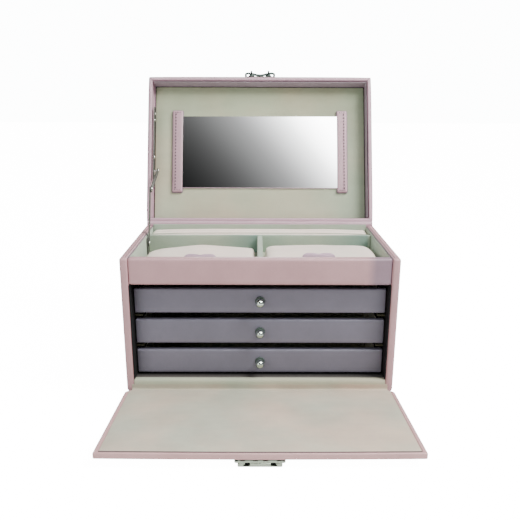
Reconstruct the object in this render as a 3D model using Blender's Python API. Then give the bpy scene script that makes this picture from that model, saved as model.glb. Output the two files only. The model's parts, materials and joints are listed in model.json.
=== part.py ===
"""Jewellery chest: hinged lid with mirror, drop-down front flap, three drawers and a tray.

Metres, +Z up.  The origin is the centre of the body's underside, -Y is the front and the
modelled pose is the open chest: lid back, flap down on the table, drawers closed.
"""
import bpy
import bmesh
import math
from mathutils import Matrix, Vector

MM = 0.001

# ---- driving dimensions (metres) ------------------------------------------------------
WIDTH = 270 * MM
DEPTH = 172 * MM
HEIGHT = 140.5 * MM
WALL = 7.7 * MM                 # side panels, leather included
GAP = 0.3 * MM                  # between pieces that touch
LINING = 1.0 * MM               # suede on thin card
BASE_TOP = 15 * MM
FASCIA_BOTTOM = 113.9 * MM
TRAY_FLOOR = 115.3 * MM
TRAY_LINING_TOP = 139 * MM
BACK_LINING_TOP = 142.6 * MM    # stands up behind the ring rolls, inside the closed lid

LID_OVERHANG = 6.5 * MM         # the closed lid also covers the closed flap
LID_HEIGHT = 22 * MM
LID_WALL = 6 * MM
LID_RECESS = 16 * MM
LID_RIM_Z = 141.5 * MM          # rim plane of the closed lid
LID_PIVOT = (173.04 * MM, 142.75 * MM)
LID_OPEN = math.radians(113)

FLAP_PIVOT = (-6.7 * MM, 0.6 * MM)
FLAP_OPEN = math.radians(87.05)
FLAP_LENGTH = 136.4 * MM
FLAP_BOARD = 5.1 * MM

DRAWER_COUNT = 3
DRAWER_WIDTH = 250 * MM
DRAWER_HEIGHT = 25.0 * MM
DRAWER_PITCH = 32.2 * MM
LOWEST_DRAWER = 17.3 * MM
DRAWER_RECESS = 13.5 * MM       # drawer faces behind the body's front
DRAWER_FRONT = 8 * MM
DRAWER_BACK = 160 * MM
BOX_DROP = 2 * MM             # the drawer's box hangs below its face

STAY_BODY_PIVOT = (113.57 * MM, 130.43 * MM)
STAY_LID_ALONG = 62.05 * MM     # up the open lid from its rear rim corner
STAY_LID_INSET = 1.8 * MM       # behind the rim plane
STAY_LOWER = 61.95 * MM
STAY_UPPER = 59.62 * MM

BACK_TOP = HEIGHT - 0.2 * MM
FASCIA_TOP = HEIGHT - 0.3 * MM
LID_FRONT = -LID_OVERHANG
LID_REAR = DEPTH
INSIDE = WIDTH / 2 - WALL

# ---- materials: colour, roughness, metallic ---------------------------------------------
FINISHES = {
    "mauve_leather": ((0.56, 0.43, 0.45), 0.55, 0.0),
    "slate_leather": ((0.25, 0.23, 0.27), 0.50, 0.0),
    "suede": ((0.50, 0.53, 0.46), 0.95, 0.0),
    "pale_suede": ((0.60, 0.60, 0.54), 0.95, 0.0),
    "black_board": ((0.012, 0.012, 0.012), 0.8, 0.0),
    "runner_wood": ((0.06, 0.06, 0.035), 0.7, 0.0),
    "lavender_tab": ((0.42, 0.34, 0.42), 0.6, 0.0),
    "mirror": ((0.8, 0.8, 0.8), 0.03, 1.0),
    "chrome": ((0.62, 0.66, 0.64), 0.12, 1.0),
    "nickel": ((0.42, 0.42, 0.36), 0.3, 1.0),
}


def clear_scene():
    for old in list(bpy.data.objects):
        bpy.data.objects.remove(old, do_unlink=True)


def material(name):
    found = bpy.data.materials.get(name)
    if found:
        return found
    colour, roughness, metallic = FINISHES[name]
    made = bpy.data.materials.new(name)
    made.use_nodes = True
    shader = made.node_tree.nodes["Principled BSDF"]
    shader.inputs["Base Color"].default_value = (*colour, 1.0)
    shader.inputs["Roughness"].default_value = roughness
    shader.inputs["Metallic"].default_value = metallic
    return made


def depth(value):
    """World y of a distance behind the body's front plane."""
    return value - DEPTH / 2


def mirrored(span, side):
    """An x span given for the right-hand side, put on the side asked for."""
    low, high = span
    if side > 0:
        return (low, high)
    return (-high, -low)


# ---- shape helpers: x spans are world x, y spans are depths behind the front plane --------
def finish(name, mesh, finish_name, smooth=True):
    bmesh.ops.recalc_face_normals(mesh, faces=mesh.faces)
    data = bpy.data.meshes.new(name)
    mesh.to_mesh(data)
    mesh.free()
    if smooth:
        data.shade_smooth()
        data.set_sharp_from_angle(angle=math.radians(40))
    made = bpy.data.objects.new(name, data)
    made.data.materials.append(material(finish_name))
    bpy.context.scene.collection.objects.link(made)
    return made


def box_mesh(x, y, z):
    mesh = bmesh.new()
    size = Vector((x[1] - x[0], y[1] - y[0], z[1] - z[0]))
    centre = Vector((sum(x) / 2, depth(sum(y) / 2), sum(z) / 2))
    place = Matrix.Translation(centre) @ Matrix.Diagonal((*size, 1.0))
    bmesh.ops.create_cube(mesh, size=1.0, matrix=place)
    return mesh


def round_edges(mesh, edges, radius, segments):
    bmesh.ops.bevel(mesh, geom=edges, offset=radius, segments=segments, profile=0.5,
                    affect="EDGES", clamp_overlap=True)


def along(edge, axis):
    """True when the edge runs along the axis (0 = x, 1 = y, 2 = z)."""
    run = edge.verts[1].co - edge.verts[0].co
    return abs(run[axis]) > 0.999 * run.length


def block(name, x, y, z, finish_name, radius=0.0, segments=2):
    """A plain box with every edge rounded by the radius."""
    mesh = box_mesh(x, y, z)
    if radius:
        round_edges(mesh, mesh.edges[:], radius, segments)
    return finish(name, mesh, finish_name)


def plate(name, x, y, z, finish_name, axis, corner, radius=0.0, top_corner=None):
    """A plate whose corners are rounded in plan; the axis is its thin direction."""
    mesh = box_mesh(x, y, z)
    middle = sum(z) / 2
    posts = [e for e in mesh.edges if along(e, axis)]
    upper = [e for e in posts if e.verts[0].co.z > middle]
    lower = [e for e in posts if e not in upper]
    round_edges(mesh, lower, corner, 5)
    round_edges(mesh, [e for e in upper if e.is_valid], top_corner or corner, 4)
    if radius:
        caps = [f for f in mesh.faces if abs(f.normal[axis]) > 0.99]
        rims = list({e for f in caps for e in f.edges})
        round_edges(mesh, rims, radius, 2)
    return finish(name, mesh, finish_name)


def tray(name, x, y, z, wall, floor, finish_name, radius=0.0, opens=1):
    """A box that is open at its top (opens=1) or at its underside (opens=-1)."""
    mesh = box_mesh(x, y, z)
    open_face = max(mesh.faces, key=lambda f: f.calc_center_median().z * opens)
    outer = mesh.edges[:]
    bmesh.ops.inset_region(mesh, faces=[open_face], thickness=wall)
    drop = (z[1] - z[0] - floor) * -opens
    deep = bmesh.ops.extrude_face_region(mesh, geom=[open_face])
    moved = [v for v in deep["geom"] if isinstance(v, bmesh.types.BMVert)]
    bmesh.ops.translate(mesh, verts=moved, vec=(0, 0, drop))
    if open_face.is_valid:
        bmesh.ops.delete(mesh, geom=[open_face], context="FACES_ONLY")
    if radius:
        round_edges(mesh, [e for e in outer if e.is_valid], radius, 3)
    return finish(name, mesh, finish_name)


def prism(name, outline, x, finish_name):
    """An outline of (depth, z) points, swept along x."""
    mesh = bmesh.new()
    ring = [mesh.verts.new((x[0], depth(y), z)) for y, z in outline]
    face = mesh.faces.new(ring)
    swept = bmesh.ops.extrude_face_region(mesh, geom=[face])
    moved = [v for v in swept["geom"] if isinstance(v, bmesh.types.BMVert)]
    bmesh.ops.translate(mesh, verts=moved, vec=(x[1] - x[0], 0, 0))
    return finish(name, mesh, finish_name)


def turned(name, profile, centre, axis, finish_name, sides=24):
    """A solid of revolution: (distance along the axis, radius) pairs from the centre."""
    turn = Vector((0, 0, 1)).rotation_difference(Vector(axis)).to_matrix().to_4x4()
    place = Matrix.Translation(Vector(centre)) @ turn
    mesh = bmesh.new()
    rings = []
    for distance, radius in profile:
        ring = []
        for step in range(sides):
            angle = 2 * math.pi * step / sides
            point = Vector((radius * math.cos(angle), radius * math.sin(angle), distance))
            ring.append(mesh.verts.new(place @ point))
        rings.append(ring)
    for low, high in zip(rings, rings[1:]):
        for step in range(sides):
            after = (step + 1) % sides
            mesh.faces.new((low[step], low[after], high[after], high[step]))
    mesh.faces.new(rings[0][::-1])
    mesh.faces.new(rings[-1])
    return finish(name, mesh, finish_name)


def hidden(tool):
    tool.hide_render = True
    tool.display_type = "WIRE"
    return tool


def combine(target, tool, operation):
    """Cut the target with the tool, or join the tool to it."""
    step = target.modifiers.new(tool.name, "BOOLEAN")
    step.operation = operation
    step.solver = "EXACT"
    step.object = hidden(tool)


def cut_box(target, name, x, y, z):
    combine(target, block(name, x, y, z, "black_board"), "DIFFERENCE")


def join_box(target, name, x, y, z):
    combine(target, block(name, x, y, z, "black_board"), "UNION")


# ---- pivots: pieces are modelled closed, then hung on an empty that opens them ------------
def pivot_empty(name, x, pivot, opening=0.0, parent=None):
    made = bpy.data.objects.new(name, None)
    bpy.context.scene.collection.objects.link(made)
    made.location = (x, depth(pivot[0]), pivot[1])
    made.rotation_euler = (opening, 0, 0)
    made.empty_display_size = 10 * MM
    if parent:
        hang(made, parent)
    return made


def hang(piece, empty):
    """Parent a piece, whose mesh is in closed world coordinates, to a pivot."""
    offset = Vector(empty.location)
    holder = empty.parent
    while holder:
        offset += Vector(holder.location)
        holder = holder.parent
    if piece.type == "MESH":
        piece.data.transform(Matrix.Translation(-offset))
    else:
        piece.location = Vector(piece.location) - offset
    piece.parent = empty


def hang_all(pieces, empty):
    for piece in pieces:
        hang(piece, empty)
        for step in piece.modifiers:
            if step.type == "BOOLEAN":
                hang(step.object, empty)


# ---- body -------------------------------------------------------------------------------
def side_panels():
    for side, word in ((-1, "left"), (1, "right")):
        x = mirrored((INSIDE, WIDTH / 2), side)
        mesh = box_mesh(x, (0, DEPTH), (0, HEIGHT))
        ends = [e for e in mesh.edges if along(e, 0)]
        round_edges(mesh, ends, 2.5 * MM, 3)
        sheets = [f for f in mesh.faces if abs(f.normal.x) > 0.99]
        outside = [f for f in sheets if abs(f.calc_center_median().x) > WIDTH / 2 - MM]
        round_edges(mesh, list({e for f in outside for e in f.edges}), 2.2 * MM, 3)
        inside = [f for f in mesh.faces if abs(f.normal.x) > 0.99
                  and abs(f.calc_center_median().x) < INSIDE + MM]
        round_edges(mesh, list({e for f in inside for e in f.edges}), 1.0 * MM, 2)
        finish("side_panel_" + word, mesh, "mauve_leather")


def body_boards():
    inner = (-INSIDE + GAP, INSIDE - GAP)
    block("back_panel", inner, (164 * MM, DEPTH), (0, BACK_TOP), "mauve_leather", 1.0 * MM)
    base_top = BASE_TOP - LINING - GAP
    block("base_board", inner, (1.1 * MM, 163.7 * MM), (0, base_top), "mauve_leather", 0.5 * MM)
    block("top_front_panel", inner, (1.2 * MM, 10.5 * MM), (FASCIA_BOTTOM, FASCIA_TOP),
          "mauve_leather", 1.8 * MM, 3)


SUEDE_BACK = 5.5 * MM           # how far the base's suede runs in from the front


def base_lining():
    """Suede over the base's front edge: an L that the flap's lining carries on from."""
    top = BASE_TOP
    under = BASE_TOP - LINING
    back = SUEDE_BACK
    low = 1.2 * MM
    outline = [(0, low), (0.8 * MM, low), (0.8 * MM, under), (back, under), (back, top),
               (1.0 * MM, top), (0.3 * MM, top - 0.3 * MM), (0, top - 1.0 * MM)]
    x = (-INSIDE + GAP, INSIDE - GAP)
    prism("base_lining", outline, x, "suede")


def carcass():
    """Black boards round the drawers' opening."""
    front = 0.6 * MM
    back = 162.4 * MM
    top = FASCIA_BOTTOM - GAP
    for side, word in ((-1, "left"), (1, "right")):
        x = mirrored((INSIDE - GAP - LINING, INSIDE - GAP), side)
        block("carcass_liner_" + word, x, (front, back), (BASE_TOP + GAP, top), "black_board")
    inner = (-INSIDE + GAP, INSIDE - GAP)
    block("carcass_liner_back", inner, (162.7 * MM, 163.7 * MM), (BASE_TOP + GAP, top),
          "black_board")
    bottom_y = (SUEDE_BACK + GAP, 163.7 * MM)
    block("carcass_liner_bottom", inner, bottom_y, (BASE_TOP - LINING, BASE_TOP),
          "black_board")


def drawer_bottom(index):
    """Underside of a drawer, 1 being the top one."""
    return LOWEST_DRAWER + (DRAWER_COUNT - index) * DRAWER_PITCH


def drawer_runners():
    """Wooden rails under the two upper drawers; the lowest one slides on the base."""
    outer = INSIDE - LINING - 2 * GAP
    for index in range(1, DRAWER_COUNT):
        top = drawer_bottom(index) - BOX_DROP - GAP
        z = (top - 1.8 * MM, top)
        for side, word in ((-1, "left"), (1, "right")):
            x = mirrored((outer - 8 * MM, outer), side)
            block("drawer_runner_%d_%s" % (index, word), x, (16 * MM, DRAWER_BACK), z,
                  "runner_wood", 0.3 * MM, 1)


# ---- tray -------------------------------------------------------------------------------
TRAY_FRONT = 10.8 * MM
TRAY_BACK = 163.7 * MM
LINED_TOP = TRAY_FLOOR + 2 * MM
LINED_X = INSIDE - GAP - LINING
PARTITION = (126 * MM, 130 * MM)


def tray_linings():
    low = LINED_TOP + GAP
    for side, word in ((-1, "left"), (1, "right")):
        x = mirrored((LINED_X, INSIDE - GAP), side)
        block("tray_lining_" + word, x, (TRAY_FRONT, TRAY_BACK), (low, TRAY_LINING_TOP), "suede")
    inner = (-LINED_X + GAP, LINED_X - GAP)
    front = (TRAY_FRONT, TRAY_FRONT + LINING)
    block("tray_lining_front", inner, front, (low, TRAY_LINING_TOP), "suede")
    back = (TRAY_BACK - LINING, TRAY_BACK)
    block("tray_lining_back", inner, back, (low, BACK_LINING_TOP), "suede")


def tray_boards():
    floor_x = (-INSIDE + GAP, INSIDE - GAP)
    block("tray_floor", floor_x, (TRAY_FRONT, TRAY_BACK), (TRAY_FLOOR, LINED_TOP), "suede")
    low = LINED_TOP + GAP
    inner = (-LINED_X + GAP, LINED_X - GAP)
    block("tray_partition", inner, PARTITION, (low, 137.2 * MM), "suede", 1.0 * MM)
    y = (TRAY_FRONT + LINING + GAP, PARTITION[0] - GAP)
    block("tray_divider", (-2.8 * MM, 2.8 * MM), y, (low, 136.8 * MM), "suede", 1.0 * MM)


def ring_rolls():
    """Three soft bolsters side by side: rings are held in the creases between them."""
    start = PARTITION[1] + GAP
    end = TRAY_BACK - LINING - GAP
    pitch = (end - start + GAP) / 3
    radius = (pitch - GAP) / 2
    crest = 138.3 * MM
    steps = 10
    for index, word in enumerate(("front", "middle", "rear")):
        centre = start + index * pitch + radius
        outline = [(centre + radius, LINED_TOP + GAP), (centre - radius, LINED_TOP + GAP)]
        for step in range(steps + 1):
            angle = math.pi * (1 - step / steps)
            y = centre + radius * math.cos(angle)
            outline.append((y, crest - radius + radius * math.sin(angle)))
        prism("ring_roll_" + word, outline, (-LINED_X + 2 * GAP, LINED_X - 2 * GAP), "suede")


def pillow(name, x, y, z, sides_z, finish_name):
    """A crowned pad: z is its underside and crest, sides_z the top of its edge."""
    mesh = bmesh.new()
    across = 14
    deep = 12
    corner = 0.35
    rows = []
    for j in range(deep + 1):
        row = []
        v = 2 * j / deep - 1
        for i in range(across + 1):
            u = 2 * i / across - 1
            crown = (1 - u ** 6) ** 0.5 * (1 - v ** 2) ** 0.6
            pull = 1 - corner * 0.12 * (u * v) ** 4
            px = sum(x) / 2 + u * pull * (x[1] - x[0]) / 2
            py = sum(y) / 2 + v * pull * (y[1] - y[0]) / 2
            top = sides_z + (z[1] - sides_z) * crown
            row.append(mesh.verts.new((px, depth(py), top)))
        rows.append(row)
    for low, high in zip(rows, rows[1:]):
        for i in range(across):
            mesh.faces.new((low[i], low[i + 1], high[i + 1], high[i]))
    rim = rows[0] + [r[-1] for r in rows[1:]] + rows[-1][-2::-1] + [r[0] for r in rows[-2:0:-1]]
    foot = [mesh.verts.new((v.co.x, v.co.y, z[0])) for v in rim]
    count = len(rim)
    for i in range(count):
        after = (i + 1) % count
        mesh.faces.new((rim[i], rim[after], foot[after], foot[i]))
    mesh.faces.new(foot)
    return finish(name, mesh, finish_name)


def cushions():
    low = LINED_TOP + GAP
    y = (13.5 * MM, 112 * MM)
    crest = 137.8 * MM
    pillow("cushion_left", (-122 * MM, -4 * MM), y, (low, crest), 124 * MM, "pale_suede")
    pillow("cushion_right", (4 * MM, 122 * MM), y, (low, crest), 124 * MM, "pale_suede")


def cushion_tab(name, centre, top):
    """A leather pull tab with a double-lobed end, standing up in front of its cushion."""
    half = 18.5 * MM
    y = (12.25 * MM, 13.2 * MM)
    lobe = half / 2
    mesh = bmesh.new()
    outline = [(centre - half, LINED_TOP + 2 * MM), (centre + half, LINED_TOP + 2 * MM)]
    shoulder = top - lobe * 0.35
    for lobe_centre in (centre + lobe, centre - lobe):
        for step in range(7):
            angle = math.pi * (step + 0.5) / 7
            outline.append((lobe_centre + lobe * math.cos(angle),
                            shoulder + lobe * 0.35 * math.sin(angle)))
    ring = [mesh.verts.new((px, depth(y[0]), pz)) for px, pz in outline]
    face = mesh.faces.new(ring)
    swept = bmesh.ops.extrude_face_region(mesh, geom=[face])
    moved = [v for v in swept["geom"] if isinstance(v, bmesh.types.BMVert)]
    bmesh.ops.translate(mesh, verts=moved, vec=(0, y[1] - y[0], 0))
    finish(name, mesh, "lavender_tab")


# ---- drawers ----------------------------------------------------------------------------
def knob(name, z, empty):
    """Mushroom knob on a round flange, from its flange to its front."""
    profile = [(0, 4.0), (1.2, 4.0), (1.8, 3.5), (2.2, 2.6), (4.4, 2.4), (5.2, 3.0), (6.2, 3.8),
               (7.4, 4.15), (9.4, 4.15), (11.0, 3.6), (12.0, 2.6), (12.4, 1.3)]
    profile = [(d * MM, r * MM) for d, r in profile]
    centre = (0, depth(DRAWER_RECESS - GAP), z)
    made = turned(name, profile, centre, (0, -1, 0), "chrome", 24)
    hang_all([made], empty)


def drawer(index):
    name = "drawer_%d" % index
    z0 = drawer_bottom(index)
    middle = z0 + DRAWER_HEIGHT / 2
    empty = pivot_empty(name + "_slide", 0, (DRAWER_RECESS, middle))
    half = DRAWER_WIDTH / 2
    face_back = DRAWER_RECESS + DRAWER_FRONT
    front = block(name + "_front", (-half, half), (DRAWER_RECESS, face_back),
                  (z0, z0 + DRAWER_HEIGHT), "slate_leather", 1.0 * MM, 3)
    box_x = half - 1 * MM
    wall = 4 * MM
    floor = 3 * MM
    box_y = (face_back + GAP, DRAWER_BACK)
    box_low = z0 - BOX_DROP
    box_top = z0 + 22 * MM
    box = tray(name + "_box", (-box_x, box_x), box_y, (box_low, box_top), wall, floor,
               "black_board")
    lined_x = box_x - wall - GAP
    lined_y = (box_y[0] + wall + GAP, box_y[1] - wall - GAP)
    lining = tray(name + "_lining", (-lined_x, lined_x), lined_y,
                  (box_low + floor + GAP, box_top - 0.5 * MM), LINING, LINING, "suede")
    hang_all([front, box, lining], empty)
    knob(name + "_knob", middle, empty)


# ---- lid --------------------------------------------------------------------------------
def lid_shell():
    x = (-WIDTH / 2, WIDTH / 2)
    z = (LID_RIM_Z, LID_RIM_Z + LID_HEIGHT)
    return tray("lid_shell", x, (LID_FRONT, LID_REAR), z, LID_WALL, LID_HEIGHT - LID_RECESS,
                "mauve_leather", 2.2 * MM, -1)


def lid_lining():
    """Suede panel on the recess's floor, a shadow line short of the walls."""
    margin = LID_WALL + 1.2 * MM
    x = (-WIDTH / 2 + margin, WIDTH / 2 - margin)
    y = (LID_FRONT + margin, LID_REAR - margin)
    bottom = LID_RIM_Z + LID_RECESS
    return block("lid_lining", x, y, (bottom - 1.5 * MM, bottom - GAP), "suede", 0.4 * MM, 1)


LINING_FACE = LID_RIM_Z + LID_RECESS - 1.5 * MM
MIRROR_X = 97.5 * MM
MIRROR_Z = (LINING_FACE - GAP - 2 * MM, LINING_FACE - GAP)
STRAP_OUTER = 106.4 * MM
STRAP_INNER = 94.4 * MM


def mirror():
    x = (-MIRROR_X, MIRROR_X)
    return block("mirror", x, (38 * MM, 128 * MM), MIRROR_Z, "mirror", 0.4 * MM, 1)


def mirror_strap(side, word):
    """A leather strap over the mirror's edge: thick beside the glass, thin on it."""
    low = MIRROR_Z[0] - GAP - 0.8 * MM
    shelf = MIRROR_Z[0] - GAP
    outline = [(STRAP_INNER, low), (STRAP_OUTER, low), (STRAP_OUTER, MIRROR_Z[1]),
               (MIRROR_X + GAP, MIRROR_Z[1]), (MIRROR_X + GAP, shelf), (STRAP_INNER, shelf)]
    mesh = bmesh.new()
    y = (31.6 * MM, 133.1 * MM)
    ring = [mesh.verts.new((side * px, depth(y[0]), pz)) for px, pz in outline]
    face = mesh.faces.new(ring)
    swept = bmesh.ops.extrude_face_region(mesh, geom=[face])
    moved = [v for v in swept["geom"] if isinstance(v, bmesh.types.BMVert)]
    bmesh.ops.translate(mesh, verts=moved, vec=(0, y[1] - y[0], 0))
    return finish("mirror_strap_" + word, mesh, "mauve_leather")


HASP_HALF = 18.2 * MM
HOOK_X = 10.6 * MM
HOOK_Y = (-12.0 * MM, -9.6 * MM)


def hasp():
    """Plate on the lid's front edge with a ledge and two hooks that drop into the lock."""
    face = LID_FRONT - GAP
    plate_y = (face - 1.0 * MM, face)
    low = LID_RIM_Z + 1.5 * MM
    made = block("hasp", (-HASP_HALF, HASP_HALF), plate_y, (low, low + 9 * MM), "chrome")
    join_box(made, "hasp_ledge_tool", (-15 * MM, 15 * MM), (HOOK_Y[0], face - 0.5 * MM),
             (low, low + 2 * MM))
    for side, word in ((-1, "left"), (1, "right")):
        x = (side * HOOK_X - 2.2 * MM, side * HOOK_X + 2.2 * MM)
        join_box(made, "hasp_hook_tool_" + word, x, HOOK_Y, (134.3 * MM, low + 1.2 * MM))
    return made


STAY_PLATE_X = -WIDTH / 2 + LID_WALL + GAP      # on the recess's side wall


def lid_stay_point():
    """The stay's pivot on the lid, in the closed lid: (depth, z)."""
    return (LID_REAR - STAY_LID_ALONG, LID_RIM_Z + STAY_LID_INSET)


def stay_lid_plate():
    x = (STAY_PLATE_X, STAY_PLATE_X + 1 * MM)
    y = (LID_REAR - 142 * MM, LID_REAR - 52 * MM)
    z = (LID_RIM_Z + 1.4 * MM, LID_RIM_Z + 9.4 * MM)
    return plate("stay_lid_plate", x, y, z, "nickel", 0, 2.5 * MM)


def stay_lid_stud():
    """Shouldered stud that carries the upper arm."""
    y, z = lid_stay_point()
    start = STAY_PLATE_X + 1 * MM + GAP
    shoulder = ARM_UPPER_X[0] - GAP - start
    through = ARM_UPPER_X[1] + GAP - start
    profile = [(0, 1.6 * MM), (shoulder, 1.6 * MM), (shoulder, 1.0 * MM),
               (through, 1.0 * MM), (through, 2.3 * MM), (through + 0.5 * MM, 2.3 * MM),
               (through + 1.0 * MM, 1.3 * MM)]
    return turned("stay_lid_stud", profile, (start, depth(y), z), (1, 0, 0), "nickel", 16)


# ---- lid stay ---------------------------------------------------------------------------
BRACKET_X = (-LINED_X + GAP, -LINED_X + GAP + 1 * MM)
ARM_LOWER_X = (BRACKET_X[1] + GAP, BRACKET_X[1] + GAP + 1 * MM)
ARM_UPPER_X = (ARM_LOWER_X[1] + GAP, ARM_LOWER_X[1] + GAP + 1 * MM)
ARM_HALF = 3.2 * MM


def open_lid_point(point):
    """A closed-lid (depth, z) point, where it is when the lid is open."""
    dy = point[0] - LID_PIVOT[0]
    dz = point[1] - LID_PIVOT[1]
    c = math.cos(-LID_OPEN)
    s = math.sin(-LID_OPEN)
    return (LID_PIVOT[0] + c * dy - s * dz, LID_PIVOT[1] + s * dy + c * dz)


def stay_elbow():
    """Where the two arms meet with the lid open: above and behind the body pivot."""
    body = Vector(STAY_BODY_PIVOT)
    lid = Vector(open_lid_point(lid_stay_point()))
    run = lid - body
    reach = (STAY_LOWER ** 2 - STAY_UPPER ** 2 + run.length ** 2) / (2 * run.length)
    rise = math.sqrt(STAY_LOWER ** 2 - reach ** 2)
    unit = run.normalized()
    return body + unit * reach + Vector((-unit.y, unit.x)) * rise


def arm(name, start, end, x, start_hole, end_hole):
    """A flat link with round ends and a hole at each end; its origin is its start pivot."""
    run = Vector(end) - Vector(start)
    mesh = bmesh.new()
    heading = math.atan2(run.y, run.x)
    outline = []
    for centre, base in ((Vector(end), heading - math.pi / 2), (Vector(start), heading + math.pi / 2)):
        for step in range(13):
            angle = base + math.pi * step / 12
            outline.append(centre + ARM_HALF * Vector((math.cos(angle), math.sin(angle))))
    ring = [mesh.verts.new((x[0], depth(p.x), p.y)) for p in outline]
    face = mesh.faces.new(ring)
    swept = bmesh.ops.extrude_face_region(mesh, geom=[face])
    moved = [v for v in swept["geom"] if isinstance(v, bmesh.types.BMVert)]
    bmesh.ops.translate(mesh, verts=moved, vec=(x[1] - x[0], 0, 0))
    made = finish(name, mesh, "nickel")
    for label, point, radius in (("start", start, start_hole), ("end", end, end_hole)):
        profile = [(0, radius), (x[1] - x[0] + 2 * MM, radius)]
        centre = (x[0] - 1 * MM, depth(point[0]), point[1])
        tool = turned(name + "_hole_" + label, profile, centre, (1, 0, 0), "black_board", 20)
        combine(made, tool, "DIFFERENCE")
    return made


def pin(name, point, x_start, x_head, shank=1.0 * MM):
    profile = [(0, shank), (x_head - x_start, shank), (x_head - x_start, 2.4 * MM),
               (x_head - x_start + 0.5 * MM, 2.4 * MM), (x_head - x_start + 0.9 * MM, 1.4 * MM)]
    return turned(name, profile, (x_start, depth(point[0]), point[1]), (1, 0, 0), "nickel", 16)


def stay_body_bracket():
    y = (STAY_BODY_PIVOT[0] - 4.5 * MM, STAY_BODY_PIVOT[0] + 4.5 * MM)
    plate("stay_body_bracket", BRACKET_X, y, (118 * MM, 136.7 * MM), "nickel", 0, 2.5 * MM)
    pin("stay_body_pin", STAY_BODY_PIVOT, BRACKET_X[1] + GAP, ARM_LOWER_X[1] + GAP)


def stay_arms():
    body = Vector(STAY_BODY_PIVOT)
    elbow = stay_elbow()
    lid = Vector(open_lid_point(lid_stay_point()))
    lower_empty = pivot_empty("stay_lower_pivot", ARM_LOWER_X[0], body)
    lower = arm("stay_lower_arm", body, elbow, ARM_LOWER_X, 1.3 * MM, 1.3 * MM)
    rivet = pin("stay_elbow_rivet", elbow, ARM_LOWER_X[0], ARM_UPPER_X[1] + GAP)
    hang_all([lower, rivet], lower_empty)
    upper_empty = pivot_empty("stay_upper_pivot", ARM_UPPER_X[0], lid)
    upper = arm("stay_upper_arm", lid, elbow, ARM_UPPER_X, 1.3 * MM, 2.1 * MM)
    hang_all([upper], upper_empty)


# ---- flap -------------------------------------------------------------------------------
FLAP_OUTER = FLAP_PIVOT[0]
FLAP_TOP = FLAP_PIVOT[1] + FLAP_LENGTH
CASE_FACE = FLAP_OUTER - 6.7 * MM


def flap_board():
    half = WIDTH / 2
    y = (FLAP_OUTER, FLAP_OUTER + FLAP_BOARD)
    return plate("flap_board", (-half, half), y, (FLAP_PIVOT[1], FLAP_TOP), "mauve_leather", 1,
                 6 * MM, 1.6 * MM, 1.8 * MM)


def flap_lining():
    half = WIDTH / 2 - 4 * MM
    y = (FLAP_OUTER + FLAP_BOARD + GAP, FLAP_OUTER + FLAP_BOARD + 0.9 * MM)
    return plate("flap_lining", (-half, half), y, (FLAP_PIVOT[1] + 2 * MM, FLAP_TOP - 2.8 * MM),
                 "suede", 1, 4 * MM, 0.0, 1 * MM)


def lock():
    """Thick back plate, and a case with a window for the button: both take the hooks' slots."""
    join = FLAP_OUTER - 3.3 * MM
    back = plate("lock_backplate", (-21.4 * MM, 20.8 * MM), (join, FLAP_OUTER - GAP),
                 (116 * MM, 137.2 * MM), "chrome", 1, 2 * MM)
    case = block("lock_case", (-18.7 * MM, 18.2 * MM), (CASE_FACE, join - GAP),
                 (121 * MM, 137.4 * MM), "chrome")
    for side, word in ((-1, "left"), (1, "right")):
        x = (side * HOOK_X - 2.75 * MM, side * HOOK_X + 2.75 * MM)
        for piece, kind in ((back, "plate"), (case, "case")):
            cut_box(piece, "lock_slot_tool_%s_%s" % (kind, word), x, (-12.8 * MM, -8.8 * MM),
                    (129.4 * MM, 140 * MM))
    cut_box(case, "lock_window_tool", (-4.1 * MM, 3.5 * MM), (-16 * MM, join + 0.1 * MM),
            (126.3 * MM, 136.2 * MM))
    return [back, case]


def lock_button():
    x = (-3.6 * MM, 3.0 * MM)
    y = (CASE_FACE, CASE_FACE + 1.5 * MM)
    return block("lock_button", x, y, (126.8 * MM, 135.7 * MM), "chrome", 0.3 * MM, 1)


# ---- live hinges ------------------------------------------------------------------------
def hinge_strips():
    """Leather and suede strips that bend; modelled plain, in the open pose."""
    lid_outline = [(164.8, 140.8), (171.0, 140.8), (171.9, 142.6), (171.3, 143.3),
                   (170.5, 141.8), (164.8, 141.8)]
    flap_outline = [(-0.3, 4.2), (-0.3, 5.0), (-3.1, 4.4), (-6.0, 5.5), (-6.0, 4.7), (-3.1, 3.6)]
    lid_x = WIDTH / 2 - 1.5 * MM
    flap_x = WIDTH / 2 - 5.5 * MM
    for name, outline, x, slot in (("lid_hinge_strip", lid_outline, lid_x, "mauve_leather"),
                                   ("flap_hinge_strip", flap_outline, flap_x, "suede")):
        points = [(y * MM, z * MM) for y, z in outline]
        prism(name, points, (-x, x), slot)


def body():
    side_panels()
    body_boards()
    base_lining()
    carcass()
    drawer_runners()
    tray_linings()
    tray_boards()
    ring_rolls()
    cushions()
    cushion_tab("cushion_tab_left", -58.5 * MM, 141.5 * MM)
    cushion_tab("cushion_tab_right", 57 * MM, 142.8 * MM)
    stay_body_bracket()


def lid():
    empty = pivot_empty("lid_pivot", 0, LID_PIVOT)
    pieces = [lid_shell(), lid_lining(), mirror(), mirror_strap(-1, "left"),
              mirror_strap(1, "right"), hasp(), stay_lid_plate(), stay_lid_stud()]
    hang_all(pieces, empty)
    empty.rotation_euler = (-LID_OPEN, 0, 0)


def flap():
    empty = pivot_empty("flap_pivot", 0, FLAP_PIVOT)
    hang_all([flap_board(), flap_lining(), *lock(), lock_button()], empty)
    empty.rotation_euler = (FLAP_OPEN, 0, 0)


def main():
    clear_scene()
    body()
    for index in range(1, DRAWER_COUNT + 1):
        drawer(index)
    lid()
    flap()
    stay_arms()
    hinge_strips()


main()
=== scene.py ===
"""Looks of the jewellery chest: leatherette boards, suede linings, chrome fittings, silvered mirror."""

import json
import math

import bpy
import bmesh
from mathutils import Matrix, Vector, noise


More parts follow.
